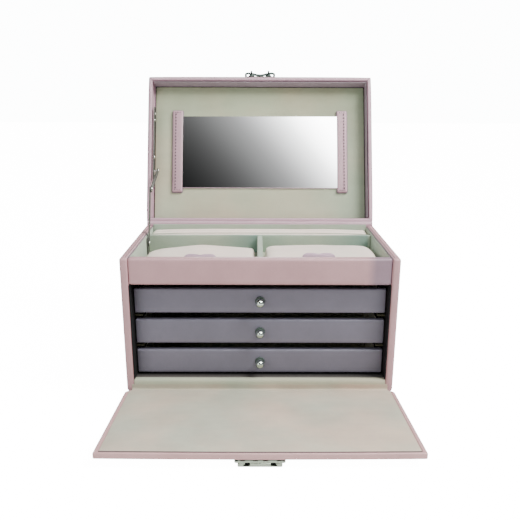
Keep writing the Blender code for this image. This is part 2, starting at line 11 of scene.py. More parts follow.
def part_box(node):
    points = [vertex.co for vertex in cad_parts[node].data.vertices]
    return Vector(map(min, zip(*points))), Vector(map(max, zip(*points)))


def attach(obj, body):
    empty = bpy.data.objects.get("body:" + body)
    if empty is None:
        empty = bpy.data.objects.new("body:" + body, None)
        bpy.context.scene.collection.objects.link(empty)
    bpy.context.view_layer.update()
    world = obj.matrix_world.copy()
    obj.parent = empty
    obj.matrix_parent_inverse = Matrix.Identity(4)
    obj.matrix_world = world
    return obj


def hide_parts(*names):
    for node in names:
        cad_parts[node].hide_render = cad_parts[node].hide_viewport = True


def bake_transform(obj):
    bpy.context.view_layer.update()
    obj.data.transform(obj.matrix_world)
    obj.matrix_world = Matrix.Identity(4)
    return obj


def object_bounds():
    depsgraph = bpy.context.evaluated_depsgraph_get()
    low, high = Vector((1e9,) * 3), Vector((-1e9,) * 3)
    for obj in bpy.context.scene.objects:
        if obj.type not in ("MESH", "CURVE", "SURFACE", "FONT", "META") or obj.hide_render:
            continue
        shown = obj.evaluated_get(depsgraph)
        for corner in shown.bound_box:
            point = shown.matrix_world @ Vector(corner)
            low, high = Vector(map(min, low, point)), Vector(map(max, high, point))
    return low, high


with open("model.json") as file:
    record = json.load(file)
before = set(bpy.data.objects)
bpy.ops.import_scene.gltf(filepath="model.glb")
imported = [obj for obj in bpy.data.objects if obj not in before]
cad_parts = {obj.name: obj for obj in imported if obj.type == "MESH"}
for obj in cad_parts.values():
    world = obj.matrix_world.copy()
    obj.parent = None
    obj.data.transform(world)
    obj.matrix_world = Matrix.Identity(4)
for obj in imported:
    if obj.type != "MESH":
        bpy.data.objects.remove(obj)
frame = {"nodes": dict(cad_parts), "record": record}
nodes = frame["nodes"]
cad_low, cad_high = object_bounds()
MM = 0.001
X, Y, Z = 0, 1, 2

# ---- camera ----
CAMERA_PLACE = (-2.5 * MM, -712.1 * MM, 292.5 * MM)
CAMERA_PITCH = 0.3205
CAMERA_YAW = -0.0039
CAMERA_ROLL = 0.003
CAMERA_LENS = 46.65
CAMERA_SHIFT = 0.1045


def added(name, data):
    """An object for some data, linked into the scene."""
    made = bpy.data.objects.new(name, data)
    bpy.context.scene.collection.objects.link(made)
    return made


def make_camera():
    data = bpy.data.cameras.new("camera")
    data.lens = CAMERA_LENS
    data.sensor_width = 36
    data.shift_y = CAMERA_SHIFT
    data.clip_start = 0.01
    data.clip_end = 20
    camera = added("camera", data)
    turn = (Matrix.Rotation(CAMERA_YAW, 4, "Z")
            @ Matrix.Rotation(math.pi / 2 - CAMERA_PITCH, 4, "X")
            @ Matrix.Rotation(CAMERA_ROLL, 4, "Z"))
    camera.matrix_world = Matrix.Translation(CAMERA_PLACE) @ turn
    bpy.context.scene.camera = camera


# ---- node helpers ----
MIX_FACTOR, MIX_FIRST, MIX_SECOND = 0, 6, 7     # a colour Mix node's sockets
MIX_RESULT = 2


class Tree:
    """Short forms for building a material's node tree."""

    def __init__(self, name):
        self.material = bpy.data.materials.new(name)
        self.material.use_nodes = True
        self.tree = self.material.node_tree
        self.shader = self.tree.nodes["Principled BSDF"]
        self.point = self.tree.nodes.new("ShaderNodeTexCoord").outputs["Object"]

    def link(self, source, target):
        self.tree.links.new(source, target)

    def node(self, kind, vector=None, **values):
        """A new node with its sockets set, fed by a vector if one is given."""
        made = self.tree.nodes.new("ShaderNode" + kind)
        for name, value in values.items():
            made.inputs[name.replace("_", " ")].default_value = value
        if vector:
            self.link(vector, made.inputs["Vector"])
        return made

    def scaled(self, factors):
        return self.node("Mapping", self.point, Scale=factors).outputs["Vector"]

    def noise(self, scale, detail=3.0, roughness=0.55, vector=None):
        made = self.node("TexNoise", vector or self.point, Scale=scale, Detail=detail,
                         Roughness=roughness)
        return made.outputs["Fac"]

    def cell_edges(self, scale):
        """Distance to the nearest edge between cells."""
        made = self.node("TexVoronoi", self.point, Scale=scale)
        made.feature = "DISTANCE_TO_EDGE"
        return made.outputs["Distance"]

    def along(self, axis, start, end):
        """0 to 1 between two places along an axis."""
        split = self.node("SeparateXYZ", self.point)
        part = self.node("MapRange", From_Min=start, From_Max=end)
        self.link(split.outputs[axis], part.inputs["Value"])
        return part.outputs["Result"]

    def ramp(self, value, stops):
        """A colour ramp from (position, colour) stops; a plain number is a grey."""
        made = self.node("ValToRGB")
        band = made.color_ramp
        while len(band.elements) < len(stops):
            band.elements.new(0.5)
        for element, (place, colour) in zip(band.elements, stops):
            grey = isinstance(colour, (int, float))
            element.position = place
            element.color = (colour, colour, colour, 1.0) if grey else (*colour, 1.0)
        self.link(value, made.inputs["Fac"])
        return made.outputs["Color"]

    def tinted(self, colour, tint):
        """One colour multiplied by another."""
        made = self.node("Mix")
        made.data_type = "RGBA"
        made.blend_type = "MULTIPLY"
        made.inputs[MIX_FACTOR].default_value = 1.0
        self.link(colour, made.inputs[MIX_FIRST])
        self.link(tint, made.inputs[MIX_SECOND])
        return made.outputs[MIX_RESULT]

    def bump(self, height, strength, distance, normal=None):
        made = self.node("Bump", Strength=strength, Distance=distance)
        self.link(height, made.inputs["Height"])
        if normal:
            self.link(normal, made.inputs["Normal"])
        return made.outputs["Normal"]

    def base(self, colour):
        self.link(colour, self.shader.inputs["Base Color"])

    def roughness(self, value):
        if isinstance(value, (int, float)):
            self.shader.inputs["Roughness"].default_value = value
        else:
            self.link(value, self.shader.inputs["Roughness"])

    def normal(self, value):
        self.link(value, self.shader.inputs["Normal"])

    def set(self, name, value):
        self.shader.inputs[name].default_value = value


def shade(colour, factor):
    return tuple(min(1.0, c * factor) for c in colour)


# ---- materials ----
PAINTED_SHADE_WIDTH = 9 * MM            # width over which painted shade greys the fascia's right end
PAINTED_SHADE_TINT = (0.54, 0.63, 0.73)


def leather(name, colour, roughness=0.45, grain=1500, painted_shade_from=None):
    """Embossed leatherette: pebble grain, faint mottling, slightly polished high spots; from a given place
    along x on, painted shade greys it.
    """
    t = Tree(name)
    mottling_and_painted_shade = t.ramp(t.noise(34, 4), [(0.3, shade(colour, 0.94)), (0.7, shade(colour, 1.05))])
    # painted shade: from this place along x the leather turns greyer and bluer
    if painted_shade_from:
        painted_shade_ramp = t.along("X", painted_shade_from, painted_shade_from + PAINTED_SHADE_WIDTH)
        mottling_and_painted_shade = t.tinted(mottling_and_painted_shade, t.ramp(painted_shade_ramp, [(0.0, (1, 1, 1)), (1.0, PAINTED_SHADE_TINT)]))
    pores = t.cell_edges(grain)
    t.base(t.tinted(mottling_and_painted_shade, t.ramp(pores, [(0.0, 0.84), (0.22, 1.0)])))
    t.roughness(t.ramp(t.noise(420, 2), [(0.3, roughness - 0.05), (0.7, roughness + 0.08)]))
    pebbled = t.bump(pores, 0.2, 0.00012)
    t.normal(t.bump(t.noise(900, 3), 0.1, 0.0001, pebbled))
    t.set("Specular IOR Level", 0.4)
    return t.material


def suede(name, colour, mottle=0.08, brushed=(1.0, 2.4, 1.6), painted_light_fades=()):
    """Short-napped suede: cloudy brush marks, fine fibres, soft sheen, and painted light and shade fading
    along axes.
    """
    t = Tree(name)
    wide = t.ramp(t.noise(22, 5, 0.62), [(0.3, 1 - mottle), (0.7, 1 + 0.6 * mottle)])
    warm = (colour[0] * (1 + 0.5 * mottle), colour[1] * (1 - 0.1 * mottle), colour[2])
    cool = (colour[0] * (1 - mottle), colour[1], colour[2] * (1 + 0.2 * mottle))
    tinted = t.ramp(t.noise(13, 3, 0.5), [(0.36, cool), (0.62, warm)])
    clouds_and_painted_light = t.tinted(tinted, wide)
    strokes = t.ramp(t.noise(60, 4, 0.6, t.scaled((0.35, 1.6, 1.6))), [(0.3, 0.965), (0.7, 1.03)])
    # painted light and shade: the colour is multiplied by ramps along axes
    for axis, start, end, stops in painted_light_fades:
        clouds_and_painted_light = t.tinted(clouds_and_painted_light, t.ramp(t.along(axis, start, end), stops))
    fibres = t.noise(1600, 3, 0.7, t.scaled(brushed))
    flecks = t.ramp(fibres, [(0.3, 0.92), (0.7, 1.05)])
    t.base(t.tinted(t.tinted(clouds_and_painted_light, strokes), flecks))
    t.roughness(0.95)
    t.normal(t.bump(fibres, 0.3, 0.0002))
    t.set("Sheen Weight", 0.25)
    t.set("Sheen Roughness", 0.5)
    t.set("Specular IOR Level", 0.12)
    return t.material


def metal(name, colour, roughness):
    """Plated fittings: faint cloudiness and hairline polishing marks."""
    t = Tree(name)
    t.base(t.ramp(t.noise(240, 3), [(0.3, shade(colour, 0.9)), (0.7, shade(colour, 1.06))]))
    t.roughness(t.ramp(t.noise(600, 3), [(0.3, roughness * 0.7), (0.7, roughness * 1.5)]))
    t.normal(t.bump(t.noise(1200, 2), 0.04, 0.00005))
    t.set("Metallic", 1.0)
    return t.material


def board(name, colour, roughness=0.7, grain=(1.0, 1.0, 1.0)):
    """Paper-faced or stained board: uneven tone along its grain."""
    t = Tree(name)
    fibres = t.noise(300, 4, 0.6, t.scaled(grain))
    t.base(t.ramp(fibres, [(0.3, shade(colour, 0.7)), (0.7, shade(colour, 1.5))]))
    t.roughness(roughness)
    t.normal(t.bump(t.noise(1400, 3), 0.15, 0.0001))
    t.set("Specular IOR Level", 0.2)
    return t.material


def silvered():
    t = Tree("mirror_glass")
    t.base(t.ramp(t.noise(8, 2), [(0.2, (0.86, 0.87, 0.88)), (0.8, (0.90, 0.91, 0.91))]))
    t.roughness(0.01)
    t.set("Metallic", 1.0)
    return t.material


def painted_shade_board(name, front, rear):
    """Suede-faced board with painted shade: brown-grey at the front, going to black towards its rear."""
    t = Tree(name)
    fade = t.ramp(t.along("Y", front, rear), [
        (0.0, (0.24, 0.22, 0.20)), (0.35, (0.085, 0.08, 0.075)), (1.0, (0.01, 0.01, 0.012))])
    t.base(t.tinted(fade, t.ramp(t.noise(900, 3), [(0.3, 0.85), (0.7, 1.1)])))
    t.roughness(0.9)
    t.set("Specular IOR Level", 0.1)
    return t.material


def thread(name, colour):
    t = Tree(name)
    t.base(t.ramp(t.noise(2500, 2), [(0.3, shade(colour, 0.75)), (0.7, shade(colour, 1.15))]))
    t.roughness(0.6)
    t.normal(t.bump(t.noise(4000, 2), 0.3, 0.0001))
    return t.material


MAUVE = (0.56, 0.335, 0.36)
# tint of the painted shade on the partition's suede
PARTITION_PAINTED_SHADE = (0.62, 0.76, 0.80)
# the lid's leatherette, tinted cooler for the cool light from above: painted light
LID_MAUVE = (0.52, 0.34, 0.41)
MATERIALS = {
    "mauve_leather": leather("mauve_leatherette", MAUVE),
    "slate_leather": leather("slate_leatherette", (0.185, 0.178, 0.235), 0.40, 1700),
    "suede": suede("mint_suede", (0.49, 0.495, 0.37)),
    "wall_suede": suede("shaded_suede", (0.37, 0.44, 0.35), 0.06),
    # the partition's suede has painted shade: darker and bluer towards the right end of each compartment
    "partition_suede": suede("partition_suede", (0.37, 0.44, 0.35), 0.06,
                             painted_light_fades=[("X", -0.125, 0.125, [
                                 (0, 1.0), (0.3, 1.0), (0.485, PARTITION_PAINTED_SHADE), (0.5, 1.0), (0.76, 1.0),
                                 (0.985, PARTITION_PAINTED_SHADE), (0.997, 1.0)])]),
    # the flap's suede: strong mottling, with painted light brightening its free edge and painted shade
    # darkening it towards the hinge
    "flap_suede": suede("worn_suede_painted_light_and_shade", (0.57, 0.525, 0.42), 0.13,
                        painted_light_fades=[("Y", -0.225, -0.10, [(0, (1.10, 1.06, 1.04)), (1, (0.88, 0.84, 0.81))])]),
    # the lid's suede has painted shade: darker towards its top and its right side, under the lid's walls
    "lid_suede": suede("lid_suede", (0.49, 0.49, 0.355), 0.08,
                       painted_light_fades=[("Z", 0.225, 0.298, [(0, 1.0), (1, (0.72, 0.75, 0.68))]),
                              ("X", 0.05, 0.128, [(0, 1.0), (1, (0.76, 0.86, 0.87))])]),
    # a darker, greyer copy of the leatherette for the lid's inner walls: painted shade
    "wall_leather": leather("shaded_leatherette", (0.34, 0.275, 0.325)),
    # the fascia's leatherette carries painted shade at its right end
    "fascia_leather": leather("fascia_leatherette", MAUVE, painted_shade_from=103 * MM),
    # near-black suede for the shade in the crease: painted shade
    "crease_painted_shade_suede": suede("crease_painted_shade_suede", (0.13, 0.13, 0.10), 0.06),
    "flap_leather": leather("flap_leatherette", (0.66, 0.405, 0.405)),
    "pale_suede": suede("pale_suede", (0.93, 0.80, 0.70), 0.05),
    "black_board": board("black_paper", (0.006, 0.006, 0.007)),
    "runner_wood": board("stained_wood", (0.035, 0.035, 0.02), 0.55, (0.1, 0.1, 1.0)),
    "lavender_tab": leather("lavender_tab", (0.52, 0.36, 0.46)),
    "mirror": silvered(),
    "chrome": metal("chrome", (0.52, 0.60, 0.54), 0.13),
    # nickel painted dark for the dark it reflects: painted reflection
    "nickel": thread("nickel_painted_dark_reflection", (0.055, 0.06, 0.05)),
    # chrome painted dark for the dark it reflects: painted reflection
    "dark_chrome": thread("shaded_chrome", (0.03, 0.055, 0.045)),
    "lock_metal": metal("lock_metal", (0.40, 0.47, 0.38), 0.3),
    # board under the drawers with painted shade towards its rear
    "base_board": painted_shade_board("shaded_board", -82 * MM, -70 * MM),
    "thread": thread("mauve_thread", (0.07, 0.045, 0.065)),
    # near-black for the gap along the flap lining's edge: painted shade
    "groove_painted_shade": thread("groove_painted_shade", (0.10, 0.075, 0.08)),
    "edge_paint": leather("edge_paint", (0.22, 0.165, 0.20), 0.5, 2200),
    "lid_leather": leather("lid_leatherette", LID_MAUVE),
    "strap_leather": leather("strap_leatherette", (0.46, 0.29, 0.34), 0.42),
    "rivet": metal("rivet", (0.74, 0.76, 0.70), 0.2),
}


# ---- where the pieces go ----
def closing(joint_name):
    """The matrix that takes a modelled open part to its closed place."""
    joints = frame["record"]["behaviour"]["joints"]
    joint = next(j for j in joints if j["name"] == joint_name)
    angle = math.radians(min(joint["range_deg"]))
    place = Matrix.Translation(joint["pos_m"])
    return place @ Matrix.Rotation(angle, 4, Vector(joint["axis"])) @ place.inverted()


CLOSE = {"lid": closing("lid_hinge"), "flap": closing("flap_hinge")}
CLOSE["lock_button"] = CLOSE["flap"]
SAME = Matrix.Identity(4)


def node_body(node):
    bodies = frame["record"]["behaviour"]["bodies"]
    return next(body for body, names in bodies.items() if node in names)


def closed_box(node):
    """Lowest and highest corner of a node with the lid and the flap shut."""
    close = CLOSE.get(node_body(node), SAME)
    points = [close @ v.co for v in nodes[node].data.vertices]
    low = Vector([min(p[a] for p in points) for a in range(3)])
    high = Vector([max(p[a] for p in points) for a in range(3)])
    return low, high


def grown(box, x=0.0, y=0.0, z=0.0):
    """A box made larger, or smaller, by so much on both sides of each axis."""
    by = Vector((x, y, z))
    return box[0] - by, box[1] + by


# ---- mesh helpers ----
def meshed(name, mesh):
    """An object that holds a finished mesh."""
    data = bpy.data.meshes.new(name)
    mesh.to_mesh(data)
    mesh.free()
    return added(name, data)


def make(name, mesh, material, body, replaced=(), smooth=35):
    """Turns a mesh made in closed coordinates into a piece that rides on its body."""
    opened = CLOSE.get(body, SAME).inverted()
    bmesh.ops.transform(mesh, matrix=opened, verts=mesh.verts)
    bmesh.ops.recalc_face_normals(mesh, faces=mesh.faces)
    piece = meshed(name, mesh)
    piece.data.shade_smooth()
    piece.data.set_sharp_from_angle(angle=math.radians(smooth))
    piece.data.materials.append(MATERIALS[material])
    if body:
        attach(piece, body)
    if replaced:
        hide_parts(*replaced)
    return piece


def limits(mesh):
    low = Vector([min(v.co[a] for v in mesh.verts) for a in range(3)])
    high = Vector([max(v.co[a] for v in mesh.verts) for a in range(3)])
    return low, high


def plate(box, axis, corner, edge, far_corner=None, segments=4):
    """A rounded plate: corner radii in its plane (far_corner at its high side), soft edges."""
    low, high = box
    a, b = [k for k in range(3) if k != axis]
    radii = (corner, corner, far_corner or corner, far_corner or corner)
    signs = ((-1, -1), (1, -1), (1, 1), (-1, 1))
    mesh = bmesh.new()
    ring = []
    for index, ((sa, sb), radius) in enumerate(zip(signs, radii)):
        start = math.pi * (1 + index / 2)
        for step in range(6):
            angle = start + math.pi / 2 * step / 5
            point = low.copy()
            point[a] = (low[a] if sa < 0 else high[a]) - sa * radius + radius * math.cos(angle)
            point[b] = (low[b] if sb < 0 else high[b]) - sb * radius + radius * math.sin(angle)
            ring.append(mesh.verts.new(point))
    push = Vector((0, 0, 0))
    push[axis] = high[axis] - low[axis]
    pushed(mesh, mesh.faces.new(ring), push)
    bmesh.ops.recalc_face_normals(mesh, faces=mesh.faces)
    caps = [f for f in mesh.faces if len(f.verts) > 4]
    rims = list({e for f in caps for e in f.edges})
    bmesh.ops.bevel(mesh, geom=rims, offset=edge, segments=segments, profile=0.5,
                    affect="EDGES", clamp_overlap=True)
    return mesh


def sliced(mesh, axis, count):
    """Cuts the faces into bands, so that the mesh can be bent or swelled."""
    low, high = limits(mesh)
    normal = Vector((0, 0, 0))
    normal[axis] = 1
    for step in range(1, count):
        place = normal * (low[axis] + (high[axis] - low[axis]) * step / count)
        geom = mesh.verts[:] + mesh.edges[:] + mesh.faces[:]
        bmesh.ops.bisect_plane(mesh, geom=geom, plane_co=place, plane_no=normal, dist=1e-7)


def crown(value, low, high, power):
    """1 in the middle of a span, 0 at its ends."""
    u = 2 * (value - low) / (high - low) - 1
    return max(0.0, 1 - abs(u) ** power)


def puffed(mesh, axis, side, amount, power=4, cuts=(12, 12)):
    """Swells one side of a plate, most in its middle."""
    others = [k for k in range(3) if k != axis]
    for other, count in zip(others, cuts):
        sliced(mesh, other, count)
    low, high = limits(mesh)
    for v in mesh.verts:
        share = (v.co[axis] - low[axis]) / (high[axis] - low[axis])
        weight = share if side > 0 else 1 - share
        swell = crown(v.co[others[0]], low[others[0]], high[others[0]], power)
        swell *= crown(v.co[others[1]], low[others[1]], high[others[1]], power)
        v.co[axis] += side * amount * weight * swell
    return mesh


def wavy(mesh, amount, size, axis, seed=0.0):
    """Slow unevenness of hand-laid material, along one axis."""
    for v in mesh.verts:
        v.co[axis] += amount * noise.noise(v.co / size + Vector((seed, seed, seed)))
    return mesh


def bridged(mesh, rings):
    """Faces between each closed ring of points and the next."""
    for low, high in zip(rings, rings[1:]):
        for step in range(len(low)):
            after = (step + 1) % len(low)
            mesh.faces.new((low[step], low[after], high[after], high[step]))


def lofted(mesh, rings):
    """Adds a closed solid that runs through rings of points."""
    bridged(mesh, rings)
    mesh.faces.new(rings[0][::-1])
    mesh.faces.new(rings[-1])
    return mesh


def pushed(mesh, face, way):
    """Extrudes a face by a vector."""
    swept = bmesh.ops.extrude_face_region(mesh, geom=[face])
    moved = [v for v in swept["geom"] if isinstance(v, bmesh.types.BMVert)]
    bmesh.ops.translate(mesh, verts=moved, vec=way)


def turned(mesh, profile, centre, axis, sides=40):
    """Adds a solid of revolution: (distance along the axis, radius) pairs."""
    turn = Vector((0, 0, 1)).rotation_difference(Vector(axis)).to_matrix().to_4x4()
    place = Matrix.Translation(Vector(centre)) @ turn
    rings = []
    for distance, radius in profile:
        ring = []
        for step in range(sides):
            angle = 2 * math.pi * step / sides
            point = Vector((radius * math.cos(angle), radius * math.sin(angle), distance))
            ring.append(mesh.verts.new(place @ point))
        rings.append(ring)
    return lofted(mesh, rings)


def smooth_path(points, steps=6):
    """Catmull-Rom curve through points."""
    points = [Vector(p) for p in points]
    padded = [points[0] * 2 - points[1], *points, points[-1] * 2 - points[-2]]
    path = []
    for p0, p1, p2, p3 in zip(padded, padded[1:], padded[2:], padded[3:]):
        for step in range(steps):
            t = step / steps
            path.append(0.5 * (2 * p1 + (p2 - p0) * t + (2 * p0 - 5 * p1 + 4 * p2 - p3) * t * t
                               + (3 * p1 - p0 - 3 * p2 + p3) * t ** 3))
    path.append(points[-1])
    return path


def tube(mesh, points, radius, sides=8):
    """Adds a round bar along a path, with closed ends."""
    points = [Vector(p) for p in points]
    rings = []
    across = None
    for index, point in enumerate(points):
        ahead = points[min(index + 1, len(points) - 1)] - points[max(index - 1, 0)]
        ahead.normalize()
        across = across or ahead.orthogonal()
        across = (across - ahead * across.dot(ahead)).normalized()
        up = ahead.cross(across)
        ring = []
        for step in range(sides):
            angle = 2 * math.pi * step / sides
            ring.append(mesh.verts.new(point + radius * (across * math.cos(angle) + up * math.sin(angle))))
        rings.append(ring)
    return lofted(mesh, rings)


def stitches(mesh, start, end, pitch=2.5 * MM, length=1.75 * MM, radius=0.3 * MM):
    """Adds a row of short rounded threads."""
    run = Vector(end) - Vector(start)
    count = max(1, round(run.length / pitch))
    turn = run.to_track_quat("Z", "Y").to_matrix().to_4x4()
    for index in range(count):
        centre = Vector(start) + run * ((index + 0.5) / count)
        place = Matrix.Translation(centre) @ turn @ Matrix.Diagonal((radius, radius, length / 2, 1))
        bmesh.ops.create_uvsphere(mesh, u_segments=8, v_segments=6, radius=1, matrix=place)
    return mesh


def ribbon(profile, x, thickness, cuts=48):
    """A sheet of a thickness that follows a (y, z) profile and runs along x."""
    path = smooth_path([(0, y, z) for y, z in profile], 5)
    under = []
    for index, point in enumerate(path):
        ahead = path[min(index + 1, len(path) - 1)] - path[max(index - 1, 0)]
        normal = Vector((0, -ahead.z, ahead.y)).normalized()
        under.append(point + normal * thickness)
    outline = path + under[::-1]
    mesh = bmesh.new()
    rings = []
    for cut in range(cuts + 1):
        along = x[0] + (x[1] - x[0]) * cut / cuts
        rings.append([mesh.verts.new((along, p.y, p.z)) for p in outline])
    bridged(mesh, rings)
    count = len(outline)
    half = len(path)
    for ring in (rings[0], rings[-1]):
        for step in range(half - 1):
            mesh.faces.new((ring[step], ring[step + 1], ring[count - 2 - step], ring[count - 1 - step]))
    return mesh


def scratch(mesh):
    """A throwaway object, for a boolean."""
    bmesh.ops.recalc_face_normals(mesh, faces=mesh.faces)
    return meshed("scratch", mesh)


def cut_away(first, tools):
    """Cuts tools out of a mesh."""
    target = scratch(first)
    helpers = [scratch(tool) for tool in tools]
    for helper in helpers:
        step = target.modifiers.new("cut", "BOOLEAN")
        step.operation = "DIFFERENCE"
        step.solver = "EXACT"
        step.object = helper
    bpy.context.view_layer.update()
    shown = target.evaluated_get(bpy.context.evaluated_depsgraph_get())
    mesh = bmesh.new()
    mesh.from_mesh(shown.to_mesh())
    shown.to_mesh_clear()
    for helper in [target, *helpers]:
        bpy.data.objects.remove(helper, do_unlink=True)
    return mesh


def softened(mesh, radius, angle=40, segments=2):
    """Rounds the sharp edges of a mesh."""
    bmesh.ops.remove_doubles(mesh, verts=mesh.verts, dist=1e-6)
    bmesh.ops.dissolve_limit(mesh, angle_limit=math.radians(1), verts=mesh.verts, edges=mesh.edges)
    mesh.normal_update()
    sharp = [e for e in mesh.edges if len(e.link_faces) == 2
             and e.calc_face_angle() > math.radians(angle)]
    bmesh.ops.bevel(mesh, geom=sharp, offset=radius, segments=segments, profile=0.5,
                    affect="EDGES", clamp_overlap=True)
    return mesh


def span(x, y, z):
    """A box from three (low, high) pairs."""
    return Vector((x[0], y[0], z[0])), Vector((x[1], y[1], z[1]))


def off(base, *steps):
    """Places at so many millimetres from a base."""
    return tuple(base + step * MM for step in steps)


def spread(start, end, count):
    """Evenly spaced places from start to end."""
    return [start + (end - start) * k / count for k in range(count + 1)]


def cube(mesh, box):
    """Adds a sharp-edged box."""
    low, high = box
    place = Matrix.Translation((low + high) / 2) @ Matrix.Diagonal((*(high - low), 1))
    bmesh.ops.create_cube(mesh, size=1, matrix=place)


def extruded(mesh, outline, start, end):
    """A prism along Z from a closed outline."""
    lofted(mesh, [[mesh.verts.new((x, y, z)) for x, y in outline] for z in (start, end)])


# ---- body ----
def side_panels():
    for word, side in (("left", -1), ("right", 1)):
        node = "side_panel_" + word
        low, high = closed_box(node)
        mesh = plate((low, high), X, 6.5 * MM, 2.0 * MM, 2.6 * MM)
        puffed(mesh, X, side, 0.5 * MM, 6, (14, 12))
        make(node + "_cover", mesh, "mauve_leather", "root", replaced=[node])
        inner = high.x if side < 0 else low.x
        seam_x = inner + side * 1.9 * MM
        ends = (low.y + 4 * MM, high.y - 4 * MM)
        top = high.z + 0.02 * MM
        mesh = stitches(bmesh.new(), (seam_x, ends[0], top), (seam_x, ends[1], top))
        make("side_stitches_" + word, mesh, "thread", "root")
        welt_x = inner + side * 0.15 * MM
        welt = [(welt_x, ends[0], top - 1.0 * MM), (welt_x, ends[1], top - 1.0 * MM)]
        make("side_welt_" + word, tube(bmesh.new(), welt, 0.6 * MM), "edge_paint", "root")


def body_boards():
    mesh = plate(closed_box("back_panel"), Y, 1.2 * MM, 1.0 * MM)
    puffed(mesh, Y, 1, 0.6 * MM)
    make("back_cover", mesh, "mauve_leather", "root", replaced=["back_panel"])
    mesh = plate(closed_box("base_board"), Z, 1.2 * MM, 1.0 * MM)
    make("base_cover", mesh, "mauve_leather", "root", replaced=["base_board"])
    low, high = closed_box("top_front_panel")
    mesh = plate((low, high), Y, 2.2 * MM, 2.0 * MM, segments=5)
    puffed(mesh, Y, -1, 0.5 * MM, 8, (16, 8))
    make("fascia_cover", mesh, "fascia_leather", "root", ["top_front_panel"])
    dark_line = [(x, high.y + 0.1 * MM, high.z - 1.0 * MM) for x in (low.x + 1 * MM, high.x - 1 * MM)]
    make("fascia_welt", tube(bmesh.new(), dark_line, 0.5 * MM), "edge_paint", "root")


CREASE_HEIGHT = 6.1 * MM        # the fold line low on the base's front


def base_suede():
    """Suede over the base's front edge, rounded where it turns down."""
    low, high = closed_box("base_lining")
    profile = [(high.y, high.z), (low.y + 3.6 * MM, high.z), (low.y + 1.9 * MM, high.z - 0.2 * MM),
               (low.y + 0.8 * MM, high.z - 0.9 * MM), (low.y + 0.1 * MM, high.z - 2.8 * MM),
               (low.y, high.z - 6 * MM), (low.y + 0.1 * MM, low.z)]
    mesh = ribbon(profile, (low.x, high.x), 0.8 * MM)
    wavy(mesh, 0.25 * MM, 0.03, Y)
    make("base_suede", mesh, "suede", "root", replaced=["base_lining"])
    # a dark tube along the fold: painted shade in the crease
    crease = []
    for k, x in enumerate(spread(low.x, high.x, 40)):
        sway = 0.3 * MM * noise.noise(Vector((k * 0.35, 0, 0)))
        crease.append((x, low.y + 0.3 * MM, CREASE_HEIGHT + sway))
    make("base_crease", tube(bmesh.new(), crease, 0.5 * MM), "crease_painted_shade_suede", "root")


# ---- tray ----
def tray_boards():
    low, high = closed_box("tray_floor")
    split = high.z - 0.8 * MM
    top = plate((Vector((low.x, low.y, split)), high), Z, 0.5 * MM, 0.2 * MM)
    make("tray_floor_suede", top, "suede", "root", replaced=["tray_floor"])
    under = plate((low, Vector((high.x, high.y, split - 0.05 * MM))), Z, 0.5 * MM, 0.2 * MM)
    make("tray_floor_board", under, "black_board", "root")
    for node, thin, along, edge, finish in (
            ("tray_partition", Y, X, 1.9 * MM, "partition_suede"),
            ("tray_divider", X, Y, 2.5 * MM, "wall_suede")):
        mesh = plate(closed_box(node), thin, 1.0 * MM, edge, segments=6)
        sliced(mesh, along, 30)
        wavy(mesh, 0.35 * MM, 0.02, Z)
        make(node + "_cover", mesh, finish, "root", [node])
    for word in ("left", "right", "front", "back"):
        node = "tray_lining_" + word
        low, high = closed_box(node)
        thin = X if word in ("left", "right") else Y
        mesh = plate((low, high), thin, 0.6 * MM, 0.45 * MM, segments=3)
        sliced(mesh, Y if thin == X else X, 24)
        wavy(mesh, 0.3 * MM, 0.03, Z, 4.0)
        make(node + "_cover", mesh, "wall_suede", "root", [node])


def ring_rolls():
    """Padded bolsters: the crest dips and rounds off towards the ends."""
    for index, word in enumerate(("front", "middle", "rear")):
        node = "ring_roll_" + word
        low, high = closed_box(node)
        half = (high.y - low.y) / 2
        middle = (low.y + high.y) / 2
        cuts = 60
        sides = 14
        mesh = bmesh.new()
        rings = []
        for cut in range(cuts + 1):
            u = 2 * cut / cuts - 1
            px = (low.x + high.x) / 2 + u * (high.x - low.x) / 2
            ending = (1 - abs(u) ** 90) ** 0.5
            dip = 1.6 * MM * abs(u) ** 5 + 0.35 * MM * noise.noise(Vector((px / 0.03, index * 7.0, 0)))
            crest = high.z - dip - 2.5 * MM * (1 - ending)
            crest -= (1.1 * MM, 0.2 * MM, 0)[index]
            wide = half * (0.82 + 0.1 * ending)
            ring = [mesh.verts.new((px, middle + wide, low.z))]
            for step in range(sides + 1):
                angle = math.pi * step / sides
                rise = math.sin(angle) ** 0.8 * (half - 0.2 * MM)
                ring.append(mesh.verts.new((px, middle + wide * math.cos(angle), crest - half + rise)))
            ring.append(mesh.verts.new((px, middle - wide, low.z)))
            rings.append(ring)
        piece = make("bolster_" + word, lofted(mesh, rings), "pale_suede", "root", [node], 60)
    # dark suede tubes where one roll meets the next: painted shade between the rolls
    for index, word in enumerate(("middle", "rear")):
        low, high = closed_box("ring_roll_" + word)
        z = high.z - (1.75 + 0.1 * index) * MM
        line = [(x, low.y - 0.1 * MM, z - 1.2 * MM * abs(k / 20 - 1) ** 4)
                for k, x in enumerate(spread(low.x + 2 * MM, high.x - 2 * MM, 40))]
        dark_line = tube(bmesh.new(), line, 0.42 * MM)
        make("bolster_shade_line_" + word, dark_line, "wall_suede", "root")


CUSHION_STEPS = 20
CUSHION_CAP = 2.0 * MM
CREST = {                       # (x, height) of each pad's crest, in millimetres
    "left": [(-122, 127), (-113, 130), (-106, 132), (-64, 137.9), (-7, 133.0), (-4, 129)],
    "right": [(4, 130), (8, 134.6), (12, 136.6), (60, 137.6), (112, 136.8), (118, 133), (122, 127)],
}


def crest_height(word, x):
    points = CREST[word]
    for (x0, z0), (x1, z1) in zip(points, points[1:]):
        if x <= x1 * MM:
            share = min(1.0, max(0.0, (x / MM - x0) / (x1 - x0)))
            return (z0 + (z1 - z0) * share) * MM
    return points[-1][1] * MM


